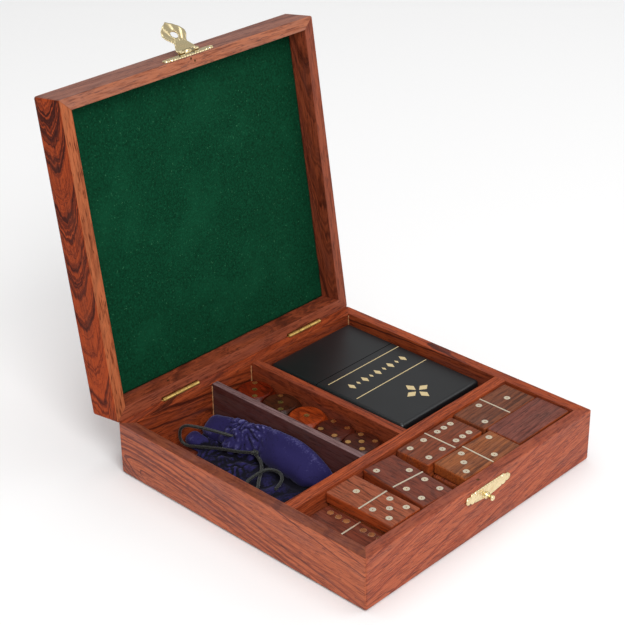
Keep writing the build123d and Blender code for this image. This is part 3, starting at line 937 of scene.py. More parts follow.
@dataclass
class GlueAndHighlightLines:
    """Thin pale beads that run up the joints in the inner corners, drawn as squeezed-out glue, as a painted
    highlight along each joint.

    Attributes:
        low: height of their lower ends, in millimetres as all sizes here.
        high: height of their upper ends.
        radius: mean radius of a bead.
        rows: cross-sections of a bead.
        around: points in each of them.
        corners: x and y of each joint.
    """

    low: float = FLOOR + 0.2
    high: float = BASE_HEIGHT - 1.2
    radius: float = 0.35
    rows: int = 26
    around: int = 8
    corners: tuple[tuple[float, float], ...] = (
        (-INNER_X + 51.5, INNER_Y), (-INNER_X + 79.6, INNER_Y), (INNER_X, INNER_Y), (INNER_X, -26.65),
    )

    def build(self, material: Material) -> None:
        """Make the beads: round tubes up each corner, whose radius wavers with height.

        Args:
            material: their finish.
        """
        height = np.linspace(self.low, self.high, self.rows)[:, None]
        turn = np.linspace(0, 2 * np.pi, self.around, endpoint=False)[None, :]
        points, faces = [], []
        for number, (x, y) in enumerate(self.corners):
            waver = self.radius * (1 + 0.3 * np.sin(height * 1.3 + number) + 0.2 * np.sin(height * 3.1))
            bead = np.stack([
                x + waver * np.cos(turn), y + waver * np.sin(turn), np.repeat(height, self.around, 1),
            ], -1)
            points.append(bead.reshape(-1, 3))
            faces += capped_tube(self.rows, self.around, start=number * self.rows * self.around)
        settle(smooth_piece("glue_lines_painted_highlight", np.concatenate(points), faces, material), "base", None)


@dataclass
class LidLining:
    """Sheet of felt glued to the underside of the lid's panel, 0.3 mm short of each wall.

    Attributes:
        half_x: half its width, in millimetres as all sizes here.
        half_y: half its depth.
        back: height of the panel's underside on the closed box.
        thickness: how far under the panel the middle of the sheet lies.
        nap: thickness of the sheet drawn there.
        frayed: how far its edges waver.
        tucked: how far its edges turn up to the panel.
        cells: points along each of its sides.
    """

    half_x: float = 77.4
    half_y: float = 76.05
    back: float = 42.1
    thickness: float = 0.85
    nap: float = 0.45
    frayed: float = 0.12
    tucked: float = 0.25
    cells: int = 150

    def build(self, material: Material) -> None:
        """Make the felt.

        Its height is the panel's less its thickness, with two low waves where the glue took unevenly,
        and a tuck that falls off exponentially from its edges, which waver where they are frayed.

        Args:
            material: its finish.
        """
        along = np.linspace(-1, 1, self.cells)
        u, v = np.meshgrid(along, along, indexing="ij")
        edge_x = self.half_x - self.frayed * (1 + np.sin(9 * v + 1.0) * np.sin(23 * v))
        edge_y = self.half_y - self.frayed * (1 + np.sin(8 * u + 2.0) * np.sin(21 * u))
        waves = 0.10 * np.sin(7 * u + 3 * v) * np.sin(5 * v - 2 * u) + 0.05 * np.sin(19 * u - 11 * v)
        tuck = self.tucked * (np.exp(-(1 - np.abs(u)) * 60) + np.exp(-(1 - np.abs(v)) * 60))
        height = self.back - self.thickness + waves + tuck
        points = opened(np.stack([u * edge_x, v * edge_y, height], -1))
        felt = smooth_piece("lid_felt_sheet", points, grid_faces(self.cells, self.cells), material)
        solid = felt.modifiers.new("thickness", "SOLIDIFY")
        solid.thickness = self.nap * MM
        solid.offset = 0.0
        settle(felt, "lid", "green_felt", "lid_felt")


@dataclass
class HingesAndBrads:
    """Small brass hardware whose solids keep their shape."""

    rolled: tuple[str, ...] = (
        "left_hinge_base_leaf", "right_hinge_base_leaf", "left_hinge_lid_leaf", "right_hinge_lid_leaf",
        "hinge_pins", "hasp_pin",
    )
    driven: tuple[str, ...] = ("base_brads", "lid_brads")

    def dress_all(self, brass: Material, nails: Material) -> None:
        """Finish the leaves and pins, and then the brads.

        Args:
            brass: finish of the leaves and pins.
            nails: finish of the brads.
        """
        for nodes, material in ((self.rolled, brass), (self.driven, nails)):
            for node in nodes:
                dress(node, material)


@dataclass
class FrontFittings:
    """Stamped brass at the front: catch plate, stud, hasp plate and flap.

    Attributes:
        brass: finish of all of them.
        thickness: sheet thickness of the fittings, in millimetres as all sizes here.
        plate_half: half length of a plate with its lobed ends.
        slices: number of upright slices of a plate.
        steps: points from a slice's lower edge to its upper edge.
        flute: spacing of the flutes.
        flute_depth: half the depth of a plate's flutes.
        flute_inset: how far the flutes stop short of the fluted body's ends.
        scallop: height of the bulge that each flute makes in an edge.
        bead: height of the raised rim, its distance from the edge and its width.
        rounding: width of the rounded edge.
        face_drop: how much lower than the sheet's thickness the face between the rims lies.
        pair_lobe: radius of the paired lobes and their distance from the centre.
        tip_lobe: radius of the tip and its distance from the centre.
        neck: least half height between the lobes.
        catch_middle: x of the catch plate's centre.
        catch_z: height of its middle line.
        catch_half: half length of its fluted body.
        catch_body: half height of that body, and how much deeper it is in the middle.
        hasp_middle: x of the hasp plate's centre.
        hasp_z: height of its middle line on the closed box.
        hasp_half: half length of its fluted body.
        hasp_body: half height of that body.
        knuckles: side, start and end of each of the hasp plate's tongues, from its centre.
        pin_y: place of the hasp pin along the depth, on the closed box.
        pin_z: its height there.
        knuckle_radius: outer radius of the rolled tongues.
        knuckle_bore: their inner radius.
        flap_edge: lengths from the pin and the flap's half width at each.
        flap_flute: half the depth of the flap's flutes.
        flap_sides: points in each ring of the flap.
        flap_rings: number of rings from the hole's edge to the outline.
        hole_at: distance of the hole's centre from the pin.
        hole_radius: radius of the hole.
        stud_x: x of the stud's axis.
        stud_z: height of that axis.
        stud: the stud's radius at each reach from the wall.
        stud_sides: points round the stud.
    """

    brass: Material
    thickness: float = 0.8
    plate_half: float = 16.3
    slices: int = 261
    steps: int = 21
    flute: float = 1.7
    flute_depth: float = 0.05
    flute_inset: float = 0.3
    scallop: float = 0.12
    bead: tuple[float, float, float] = (0.22, 0.45, 0.3)
    rounding: float = 0.35
    face_drop: float = 0.25
    pair_lobe: tuple[float, float] = (1.75, 11.4)
    tip_lobe: tuple[float, float] = (2.1, 14.3)
    neck: float = 0.35
    catch_middle: float = 0.9
    catch_z: float = 23.35
    catch_half: float = 9.85
    catch_body: tuple[float, float] = (2.85, 1.3)
    hasp_middle: float = -0.6
    hasp_z: float = 32.5
    hasp_half: float = 10.2
    hasp_body: float = 2.35
    knuckles: tuple[tuple[str, float, float], ...] = (("left", -6.2, -3.2), ("right", 3.2, 6.2))
    pin_y: float = -HALF_DEPTH - 2.1
    pin_z: float = LID_RIM + 2.6
    knuckle_radius: float = 1.1
    knuckle_bore: float = 0.56
    flap_edge: tuple[tuple[float, float], ...] = (
        (1.4, 6.2), (2.5, 6.15), (4.0, 5.3), (5.3, 4.3), (6.6, 4.15), (8.6, 5.5), (10.4, 6.9), (12.4, 7.4),
        (14.2, 6.9), (16.2, 5.4), (18.2, 3.0), (20.0, 0.0),
    )
    flap_flute: float = 0.20
    flap_sides: int = 180
    flap_rings: int = 22
    hole_at: float = 11.6
    hole_radius: float = 2.2
    stud_x: float = -0.2
    stud_z: float = 20.4
    stud: tuple[tuple[float, float], ...] = (
        (0.0, 0.3), (1.9, 0.3), (1.9, 1.0), (1.15, 1.25), (1.1, 3.3), (1.42, 3.5), (1.45, 3.9),
        (1.35, 4.35), (1.0, 4.62), (0.5, 4.7), (0.0, 4.7),
    )
    stud_sides: int = 40

    def plate(
        self, middle: float, z: float, body_half: float, high: np.ndarray, low: np.ndarray, x: np.ndarray
    ) -> tuple[np.ndarray, np.ndarray]:
        """Stamped plate with lobed ends, as upright slices from its lower to its upper edge.

        How proud it stands is its thickness, rounded off at the edge, plus a raised rim and, inside
        that, a cosine of x that makes one upright flute after another.

        Args:
            middle: x of its centre.
            z: height of its middle line.
            body_half: half length of the fluted body.
            high: upper edge over the middle line at each x.
            low: lower edge over the middle line at each x.
            x: slice places from the centre.

        Returns:
            Points and faces of the plate on the closed box.
        """
        slices, steps = len(x), self.steps
        raised, bead_at, bead_width = self.bead
        t = np.linspace(0, 1, steps)
        tall = (high - low)[:, None]
        rim = np.minimum(t, 1 - t)[None, :] * tall
        bead = raised * np.exp(-((rim - bead_at) / bead_width) ** 2)
        inside = (np.abs(x) < body_half - self.flute_inset)[:, None] * np.clip((rim - 0.7) / 0.5, 0, 1)
        flutes = self.flute_depth * np.cos(x * 2 * np.pi / self.flute)[:, None] * inside
        face = (self.thickness - self.face_drop) * np.clip(rim / self.rounding, 0, 1) ** 0.5
        proud = face + bead + flutes + 0.02
        places = np.repeat((middle + x)[:, None], steps, 1)
        height = z + low[:, None] + tall * t[None, :]
        front = np.stack([places, -HALF_DEPTH - proud, height], -1).reshape(-1, 3)
        back = np.stack([places, np.full_like(proud, -HALF_DEPTH - 0.01), height], -1).reshape(-1, 3)
        count = slices * steps
        starts, ends = np.arange(slices) * steps, np.arange(steps)
        edges = [
            np.stack([line[:-1], line[1:], line[1:] + count, line[:-1] + count], -1)
            for line in (starts, starts + steps - 1, ends, ends + count - steps)
        ]
        sides = [grid_faces(slices, steps), grid_faces(slices, steps, start=count)]
        return np.concatenate([front, back]), np.concatenate(sides + edges)

    def lobes(self, x: np.ndarray, spread: float) -> np.ndarray:
        """Half height of the lobed ends: the highest of a pair of round lobes and a round tip.

        Args:
            x: slice places from the centre.
            spread: how far the paired lobes sit over and under the middle line.

        Returns:
            Half height at each x.
        """
        side = np.abs(x)
        beside, ahead = (
            np.maximum(radius ** 2 - (side - middle) ** 2, 0)
            for radius, middle in (self.pair_lobe, self.tip_lobe)
        )
        pair = np.where(beside > 0, spread + np.sqrt(beside), 0)
        return np.maximum(np.maximum(pair, np.sqrt(ahead)), self.neck)

    def build_catch(self) -> None:
        """Catch plate, deeper in the middle, and its stud, on the base."""
        x = np.linspace(-self.plate_half, self.plate_half, self.slices)
        ends = self.lobes(x, 1.2)
        body = np.abs(x) < self.catch_half
        scallop = self.scallop * np.abs(np.sin(x * np.pi / self.flute))
        half, depth = self.catch_body
        deeper = depth * (1 - np.abs(x) / self.catch_half)
        high = np.where(body, half + scallop, ends)
        low = -np.where(body, half + deeper + scallop, ends)
        points, faces = self.plate(self.catch_middle, self.catch_z, self.catch_half, high, low, x)
        catch = smooth_piece("catch_plate_stamped", points, faces, self.brass)
        settle(catch, "base", "brass_fitting", "catch_plate")
        self.build_stud()

    def build_stud(self) -> None:
        """Stud with a collar, a neck and a domed head: radius over reach, carried round Y."""
        turns = np.linspace(0, 2 * np.pi, self.stud_sides, endpoint=False)
        radius, reach = (np.array(self.stud)[:, column][:, None] for column in range(2))
        points = np.stack([
            self.stud_x + radius * np.cos(turns), np.repeat(-HALF_DEPTH - reach, self.stud_sides, 1),
            self.stud_z + radius * np.sin(turns),
        ], -1)
        faces = grid_faces(len(self.stud), self.stud_sides, closed=True)
        stud = smooth_piece("catch_stud_turned", points, faces, self.brass)
        settle(stud, "base", "brass_fitting", "catch_stud")

    def build_hasp(self) -> None:
        """Hasp plate with its outer knuckles, on the lid."""
        x = np.linspace(-self.plate_half, self.plate_half, self.slices)
        scallop = self.scallop * np.abs(np.sin(x * np.pi / self.flute))
        half = np.where(np.abs(x) < self.hasp_half, self.hasp_body + scallop, self.lobes(x, 0.75))
        points, faces = self.plate(self.hasp_middle, self.hasp_z, self.hasp_half, half, -half, x)
        hasp = smooth_piece("hasp_plate_stamped", opened(points), faces, self.brass)
        settle(hasp, "lid", "brass_fitting", "hasp_plate")
        for side, start, end in self.knuckles:
            self.build_knuckle(side, start, end)

    def rolled(self, turns: np.ndarray, tail: np.ndarray) -> np.ndarray:
        """Section of a rolled tongue: out along the tail, round the pin, and back at the bore.

        Args:
            turns: angles about the pin, in radians, from the tail's outer face.
            tail: y and z of the tail's outer end and of its inner end.

        Returns:
            Rows of y and z.
        """
        outer, inner = (
            np.stack([self.pin_y + radius * np.cos(turns), self.pin_z + radius * np.sin(turns)], -1)
            for radius in (self.knuckle_radius, self.knuckle_bore)
        )
        return np.concatenate([tail[:1], outer, inner[::-1], tail[1:]])

    def carried(self, ends: np.ndarray, sections: np.ndarray) -> np.ndarray:
        """Sections carried along X.

        Args:
            ends: place of each section from the hasp's centre.
            sections: rows of y and z for each of them.

        Returns:
            The points of every section.
        """
        x = self.hasp_middle + ends
        places = np.broadcast_to(x[:, None, None], (*sections.shape[:2], 1))
        return np.concatenate([places, sections], -1)

    def build_knuckle(self, side: str, start: float, end: float) -> None:
        """Tongue rolled round the hasp pin: a ring with a tail on the plate, carried along X.

        Args:
            side: left or right.
            start: where it begins, from the hasp's centre.
            end: where it ends.
        """
        turns = np.linspace(math.radians(-60), math.radians(265), 26)
        tail = np.array([(-HALF_DEPTH - 0.3, self.pin_z - 0.9), (-HALF_DEPTH - 0.3, self.pin_z - 0.2)])
        section = self.rolled(turns, tail)
        ends = np.array([start, start + 0.12, end - 0.12, end])
        ease = np.array([0.93, 1.0, 1.0, 0.93])[:, None, None]
        middle = np.array([self.pin_y, self.pin_z])
        rows = middle + (section - middle)[None] * ease
        points = opened(self.carried(ends, rows))
        knuckle = smooth_piece(f"hasp_knuckle_{side}", points, capped_tube(4, len(section)), self.brass)
        settle(knuckle, "lid", "brass_fitting")

    def flap_outline(self, angles: np.ndarray) -> np.ndarray:
        """Distance from the hole's centre to the flap's edge, by angle from the tip's direction.

        The edge is half the width over the length: straight at the strap, drawn in at the waist, full
        at the belly, and running to a point at the tip, with a scallop for each flute.

        Args:
            angles: radians from the tip's direction.

        Returns:
            Distance in millimetres for each angle.
        """
        keys = np.array(self.flap_edge)
        edge = np.concatenate([catmull(keys, 160), keys[-1:]])
        across, along = np.maximum(edge[:, 1], 0), edge[:, 0] - self.hole_at
        theta = np.arctan2(across, along)
        order = np.argsort(theta)
        reach = np.interp(np.abs(angles), theta[order], np.hypot(across, along)[order])
        strap = np.abs((keys[0, 0] - self.hole_at) / np.cos(angles))
        reach = np.where(np.abs(angles) > theta.max(), strap, reach)
        fan = np.clip((np.cos(angles) + 0.35) / 0.5, 0, 1)
        return reach - 0.22 * fan * (1 - np.abs(np.cos(angles * 6.5)))

    def folded(self, points: np.ndarray) -> np.ndarray:
        """Points of the hanging flap, folded back about the pin and opened with the lid."""
        return opened(swung(points, self.pin_y, self.pin_z, HASP_FOLD))

    def build_flap(self) -> None:
        """Flap: rings from the hole's edge to the outline.

        Its face is half the thickness, plus flutes that are a cosine of the angle about a point at the
        waist, plus a bead round the hole, less a dish that falls away at the rim.
        """
        count, rings = self.flap_sides, self.flap_rings
        total = rings * count
        angles = np.linspace(-np.pi, np.pi, count, endpoint=False)
        edge = self.flap_outline(angles)[None, :]
        t = np.linspace(0, 1, rings)[:, None]
        radius = self.hole_radius + (edge - self.hole_radius) * t
        across = radius * np.sin(angles)
        along = self.hole_at + radius * np.cos(angles)
        spoke = np.arctan2(across, along - 4.2)
        rim = np.clip((edge - radius) / 0.8, 0, 1)
        fan = np.clip((along - 6.5) / 3.0, 0, 1) * rim * np.clip(t * 4, 0, 1)
        flutes = self.flap_flute * np.cos(spoke * 15.0) * fan
        bead = 0.28 * np.exp(-((radius - self.hole_radius - 0.55) / 0.4) ** 2)
        face = self.thickness / 2 + flutes + bead - 0.35 * (1 - rim) ** 2
        rear = 0.1 - self.thickness / 2 + 0.8 * flutes
        middle_y = self.pin_y - self.knuckle_radius + self.thickness / 2
        points = np.stack([
            np.stack([self.hasp_middle + across, middle_y - height, self.pin_z - along], -1)
            for height in (face, rear)
        ])
        ring = np.arange(count)
        after = (ring + 1) % count
        walls = [
            np.stack([ring + row, after + row, after + row + total, ring + row + total], -1)
            for row in (0, total - count)
        ]
        sides = [grid_faces(rings, count, closed=True, start=start) for start in (0, total)]
        faces = np.concatenate(sides + walls)
        flap = smooth_piece("hasp_flap_stamped", self.folded(points), faces, self.brass)
        settle(flap, "hasp", "brass_fitting", "hasp_flap")
        self.build_flap_knuckle()

    def build_flap_knuckle(self) -> None:
        """Middle knuckle of the flap: a profile rolled round the pin that runs out into the strap."""
        sweep = np.linspace(math.pi, -math.pi * 0.42, 24)
        strap_z = self.pin_z - 1.8
        strap = np.array([(self.pin_y - self.knuckle_radius, strap_z), (self.pin_y - 0.35, strap_z)])
        section = self.rolled(sweep, strap)
        points = self.folded(self.carried(np.array([-2.95, 2.95]), np.stack([section, section])))
        knuckle = smooth_piece("hasp_flap_knuckle", points, capped_tube(2, len(section)), self.brass)
        settle(knuckle, "hasp", "brass_fitting")


@dataclass
class Pouch:
    """Velvet drawstring pouch on its side, with its filled end against the thin divider.

    Its cloth lies in lobes: the filled roll, the gathered neck below the knot, the low slack side
    along the bay's left with a web of cloth beside it, and a corner of the mouth that pokes out behind.

    Attributes:
        right: x of the filled end, just short of the divider, in millimetres as all sizes here.
        floor: height of the underside, just over the bay's floor.
        voxel: size of the cells that join the lobes.
        loop: points in a cross-section of a low lobe.
        along: cross-sections of the fine tube through a lobe.
        around: points in each of them.
        gathered_at: place along the depth of the middle of the gathers.
        gathered_over: how far they reach to either side of it.
        roll: distance along the depth, left edge and top of the filled roll's cross-sections.
        neck: distance along the depth, left edge, right edge and top of the gathered neck's
            cross-sections, as in all the lobes below.
        slack: the low slack side.
        tab: the corner of the mouth.
        bridge: the cloth between that corner and the roll.
        web: the cloth between the slack side and the roll.
    """

    right: float = -26.7
    floor: float = 4.4
    voxel: float = 0.62
    loop: int = 12
    along: int = 90
    around: int = 44
    gathered_at: float = 44.0
    gathered_over: float = 14.0
    roll: tuple[tuple[float, float, float], ...] = (
        (-11.2, -32.0, 8.5), (-8.6, -35.5, 14.5), (-4.6, -39.0, 18.5), (1.4, -41.0, 22.0),
        (9.4, -41.5, 24.3), (17.4, -41.2, 24.6), (25.4, -40.2, 23.8), (31.4, -38.8, 23.0),
        (36.4, -39.5, 22.2), (43.4, -40.5, 20.6), (49.4, -40.5, 19.3), (55.4, -40.0, 17.8),
        (62.4, -39.7, 16.4), (68.4, -39.5, 14.8), (72.9, -38.0, 12.4), (75.3, -34.0, 9.0),
    )
    neck: tuple[tuple[float, float, float, float], ...] = (
        (33.0, -38.4, -33.0, 8.6), (35.4, -40.2, -33.0, 10.2), (39.4, -41.4, -33.0, 12.0),
        (44.4, -42.6, -33.0, 13.0), (49.4, -43.4, -33.0, 12.6), (52.9, -42.4, -33.0, 11.2),
        (55.0, -39.2, -33.0, 9.0),
    )
    slack: tuple[tuple[float, float, float, float], ...] = (
        (-25.4, -58.0, -45.0, 6.4), (-22.6, -64.0, -41.0, 8.8), (-17.6, -67.0, -40.0, 9.6),
        (-10.6, -68.0, -41.5, 7.2), (-4.6, -68.0, -42.0, 7.4), (3.4, -68.0, -42.0, 7.4),
        (12.4, -67.5, -41.0, 7.3), (20.4, -67.0, -38.0, 7.4), (27.4, -66.0, -37.0, 7.3),
        (33.4, -65.0, -37.0, 6.8), (41.4, -64.0, -37.0, 6.3), (50.4, -62.0, -37.0, 6.0),
        (57.4, -58.0, -38.0, 5.8), (61.4, -54.0, -40.0, 5.5),
    )
    tab: tuple[tuple[float, float, float, float], ...] = (
        (63.0, -48.6, -42.4, 7.6), (65.0, -49.6, -42.0, 9.6), (69.6, -50.0, -41.6, 10.0),
        (73.4, -49.2, -42.0, 9.4), (75.2, -47.6, -43.4, 7.8),
    )
    bridge: tuple[tuple[float, float, float, float], ...] = (
        (57.0, -50.0, -36.0, 5.6), (60.5, -51.0, -36.0, 6.2), (67.0, -50.5, -36.0, 6.2),
        (73.0, -49.0, -36.0, 5.6),
    )
    web: tuple[tuple[float, float, float, float], ...] = (
        (-20.0, -47.0, -35.0, 5.2), (-15.0, -49.0, -34.0, 6.0), (-4.0, -50.0, -34.0, 6.4),
        (10.0, -50.0, -34.0, 6.4), (24.0, -50.0, -34.0, 6.6), (34.0, -48.0, -34.0, 6.0),
    )

    def roll_lobe(self) -> np.ndarray:
        """Loops of the filled roll: flat on the floor, upright at the divider, sloping to the left.

        Each corner is a place from an edge and a share of the loop's height.

        Returns:
            Array of cross-sections, each a loop of points.
        """
        y, left, top = (np.array(self.roll)[:, column] for column in range(3))
        side = np.full_like(left, self.right)
        middle = (left + side) / 2
        corners = [
            (side - 1.5, 0.0), (side, 0.22), (side, 0.72), (side - 1.3, 0.93), (side - 4.2, 1.0),
            (middle + 0.5, 0.93), (left + 2.6, 0.68), (left + 0.2, 0.42), (left + 1.6, 0.17),
            (left + 6.0, 0.0),
        ]
        tall = top - self.floor
        return np.stack([np.stack([x, y, self.floor + share * tall], -1) for x, share in corners], 1)

    def low_lobe(self, keys: tuple[tuple[float, float, float, float], ...]) -> np.ndarray:
        """Loops of a low lobe: a flattened round from its left to its right edge.

        Args:
            keys: distance along the depth, left edge, right edge and top of each cross-section.

        Returns:
            Array of cross-sections, each a loop of points.
        """
        y, left, right, top = (np.array(keys)[:, column][:, None] for column in range(4))
        turn = np.linspace(0, 2 * np.pi, self.loop, endpoint=False)[None, :]
        wide = np.sign(np.cos(turn)) * np.abs(np.cos(turn)) ** 0.7
        high = np.sign(np.sin(turn)) * np.abs(np.sin(turn)) ** 0.8
        x = (left + right) / 2 + (right - left) / 2 * wide
        z = (self.floor + top) / 2 + (top - self.floor) / 2 * high
        return np.stack([x, np.repeat(y, self.loop, 1), z], -1)

    def lobe_mesh(self, loops: np.ndarray, start: int) -> tuple[np.ndarray, list[list[int]]]:
        """Fine tube through a lobe's cross-sections, closed at both ends.

        Args:
            loops: cross-sections, each a loop of points.
            start: number of the tube's first vertex.

        Returns:
            Its points and its faces.
        """
        rounds = catmull(loops.swapaxes(0, 1), self.around, closed=True).swapaxes(0, 1)
        return catmull(rounds, self.along).reshape(-1, 3), capped_tube(self.along, self.around, start)

    def waves(
        self, points: np.ndarray, seed: int, length: tuple[float, float], spread: float
    ) -> np.ndarray:
        """Sum of sine waves of random direction, length and phase, with a variance of one.

        Args:
            points: rows of x, y and z in millimetres.
            seed: seed of the random numbers.
            length: shortest and longest wave in millimetres.
            spread: how far the directions stray from the pouch's length.

        Returns:
            One value for each point.
        """
        chance, count = np.random.default_rng(seed), 16
        way = chance.normal(size=(count, 3)) * (spread, 1.0, spread)
        way /= np.linalg.norm(way, axis=1, keepdims=True)
        way *= 2 * np.pi / chance.uniform(*length, size=(count, 1))
        return np.sin(points @ way.T + chance.uniform(0, 2 * np.pi, count)).sum(1) / np.sqrt(count / 2)

    def crinkle(self, points: np.ndarray) -> np.ndarray:
        """Height of the folds over the cloth, in millimetres.

        The size of a sum of random waves gives folds that are round on top and sharp between. They are
        a few millimetres wide and run across the roll near the knot, where the cloth is gathered, and
        are a centimetre or two long elsewhere. Each point is first moved by longer waves, so they bend.

        Args:
            points: rows of x, y and z in millimetres.

        Returns:
            One height for each point.
        """
        bend = np.stack([self.waves(points, seed, (14.0, 30.0), 1.0) for seed in (1, 2, 3)], -1)
        moved = points + 1.6 * bend
        near = np.exp(-((points[:, 1] - self.gathered_at) / self.gathered_over) ** 4)
        low = np.clip((11.0 - points[:, 2]) / 3.0, 0.0, 1.0)
        gathers = np.abs(self.waves(moved, 4, (4.5, 8.0), 0.6)) - 0.8
        fine = np.abs(self.waves(moved, 5, (2.8, 4.5), 1.0)) - 0.8
        soft = self.waves(moved, 6, (9.0, 24.0), 1.2)
        folds = np.abs(self.waves(moved, 7, (12.0, 22.0), 1.5)) - 0.8
        return near * (0.55 * gathers + 0.22 * fine) + 0.20 * soft + 0.45 * low * folds

    def build(self, material: Material) -> None:
        """Make the pouch: its lobes are joined by a voxel remesh, eased, and pushed out by the folds.

        Args:
            material: its finish.
        """
        lobes = [self.roll_lobe()]
        lobes += [self.low_lobe(keys) for keys in (self.neck, self.slack, self.tab, self.bridge, self.web)]
        points, faces, start = [], [], 0
        for loops in lobes:
            fine, quads = self.lobe_mesh(loops, start)
            points.append(fine)
            faces += quads
            start += len(fine)
        cloth = smooth_piece("pouch_cloth", np.concatenate(points), faces, material)
        remesh = cloth.modifiers.new("join the lobes", "REMESH")
        remesh.mode = "VOXEL"
        remesh.voxel_size = self.voxel * MM
        remesh.use_smooth_shade = True
        ease = cloth.modifiers.new("ease the joins", "SMOOTH")
        ease.factor = 0.5
        ease.iterations = 10
        evaluated = cloth.evaluated_get(bpy.context.evaluated_depsgraph_get())
        joined = bpy.data.meshes.new_from_object(evaluated)
        cloth.modifiers.clear()
        cloth.data = joined
        joined.materials.clear()
        joined.materials.append(material)
        self.push_out(joined)
        settle(cloth, "pouch", "pouch_velvet", "pouch")

    def push_out(self, mesh: Mesh) -> None:
        """Move each vertex along its normal by the folds, but not through the divider or the floor.

        Args:
            mesh: the pouch's mesh, in metres.
        """
        count = len(mesh.vertices)
        place, normal = np.empty(count * 3), np.empty(count * 3)
        mesh.vertices.foreach_get("co", place)
        mesh.vertex_normals.foreach_get("vector", normal)
        place, normal = place.reshape(-1, 3) / MM, normal.reshape(-1, 3)
        place += normal * self.crinkle(place)[:, None]
        place[:, 0] = np.minimum(place[:, 0], self.right + 0.1)
        place[:, 2] = np.maximum(place[:, 2], self.floor - 0.3)
        mesh.vertices.foreach_set("co", (place * MM).ravel())
        mesh.update()


@dataclass
class Drawstring:
    """Braided cord in two runs that meet in a knot: a loop out of the neck, and a loose tail.

    Attributes:
        radius: radius of the cord, in millimetres as all sizes here.
        knot_scale: size of the knot's curve.
        knot_centre: middle of the knot.
        loop: control points from where the cord leaves the neck to the knot.
        tail: control points from the knot to the cut end.
    """

    radius: float = 0.8
    knot_scale: float = 0.47
    knot_centre: tuple[float, float, float] = (-39.4, 32.0, 12.4)
    loop: tuple[tuple[float, float, float], ...] = (
        (-35.6, 47.6, 12.6), (-40.8, 52.9, 15.4), (-46.0, 61.7, 17.2), (-52.4, 73.3, 18.0),
        (-53.6, 72.4, 6.1), (-48.6, 60.3, 7.8), (-44.4, 50.8, 9.0), (-42.4, 41.3, 10.2), (-39.7, 32.9, 12.2),
    )
    tail: tuple[tuple[float, float, float], ...] = (
        (-39.6, 31.2, 11.6), (-40.0, 27.0, 9.8), (-45.0, 21.8, 8.8), (-51.5, 17.4, 8.5), (-57.2, 12.0, 8.4),
        (-60.8, 15.8, 8.4), (-57.4, 20.6, 9.0), (-50.1, 19.8, 10.4), (-43.6, 19.2, 10.8), (-41.0, 12.2, 10.4),
        (-45.6, 6.6, 9.4), (-51.8, 5.6, 8.8),
    )

    def strand(
        self, name: str, points: tuple[tuple[float, float, float], ...], material: Material
    ) -> Object:
        """Cord along its control points, as one open smooth spline.

        Args:
            name: the piece's name.
            points: control points in millimetres.
            material: its finish.

        Returns:
            The cord.
        """
        curve = bpy.data.curves.new(name, "CURVE")
        curve.dimensions = "3D"
        curve.resolution_u = 12
        curve.bevel_depth = self.radius * MM
        curve.bevel_resolution = 4
        curve.use_fill_caps = True
        spline = curve.splines.new("NURBS")
        spline.points.add(len(points) - 1)
        flat = np.concatenate([np.array(points) * MM, np.ones((len(points), 1))], 1)
        spline.points.foreach_set("co", flat.ravel())
        spline.order_u = 3
        spline.use_endpoint_u = True
        curve.materials.append(material)
        cord = bpy.data.objects.new(name, curve)
        bpy.context.scene.collection.objects.link(cord)
        return cord

    def tie_knot(self, material: Material) -> Object:
        """Overhand knot: a tube along a closed curve that goes twice round with three crossings.

        With t round the curve, x is sin t + 2 sin 2t, y is cos t - 2 cos 2t and z is -1.1 sin 3t.

        Args:
            material: its finish.

        Returns:
            The knot.
        """
        turns, around = 150, 14
        t = np.linspace(0, 2 * np.pi, turns + 1)
        line = self.knot_scale * np.stack([
            np.sin(t) + 2 * np.sin(2 * t), np.cos(t) - 2 * np.cos(2 * t), -1.1 * np.sin(3 * t),
        ], -1)
        way = np.stack([
            np.cos(t) + 4 * np.cos(2 * t), 4 * np.sin(2 * t) - np.sin(t), -3.3 * np.cos(3 * t),
        ], -1)
        side = np.cross(way, np.array([0.2, 0.1, 1.0]))
        up = np.cross(side, way)
        side, up = (axis / np.linalg.norm(axis, axis=1, keepdims=True) for axis in (side, up))
        a = np.linspace(0, 2 * np.pi, around, endpoint=False)[None, :, None]
        tube = line[:, None] + 0.88 * self.radius * (side[:, None] * np.cos(a) + up[:, None] * np.sin(a))
        faces = grid_faces(turns + 1, around, closed=True)
        return smooth_piece("drawstring_knot_tied", tube + np.array(self.knot_centre), faces, material)

    def build(self, material: Material) -> None:
        """Make both runs and the knot.

        Args:
            material: their finish.
        """
        knot = settle(self.tie_knot(material), "pouch", "satin_cord", "drawstring_knot")
        loop = self.strand("drawstring_loop_cord", self.loop, material)
        settle(loop, "pouch", "satin_cord", "drawstring_loop")
        tail = self.strand("drawstring_tail_cord", self.tail, material)
        settle(tail, "pouch", "satin_cord", "drawstring_tail")


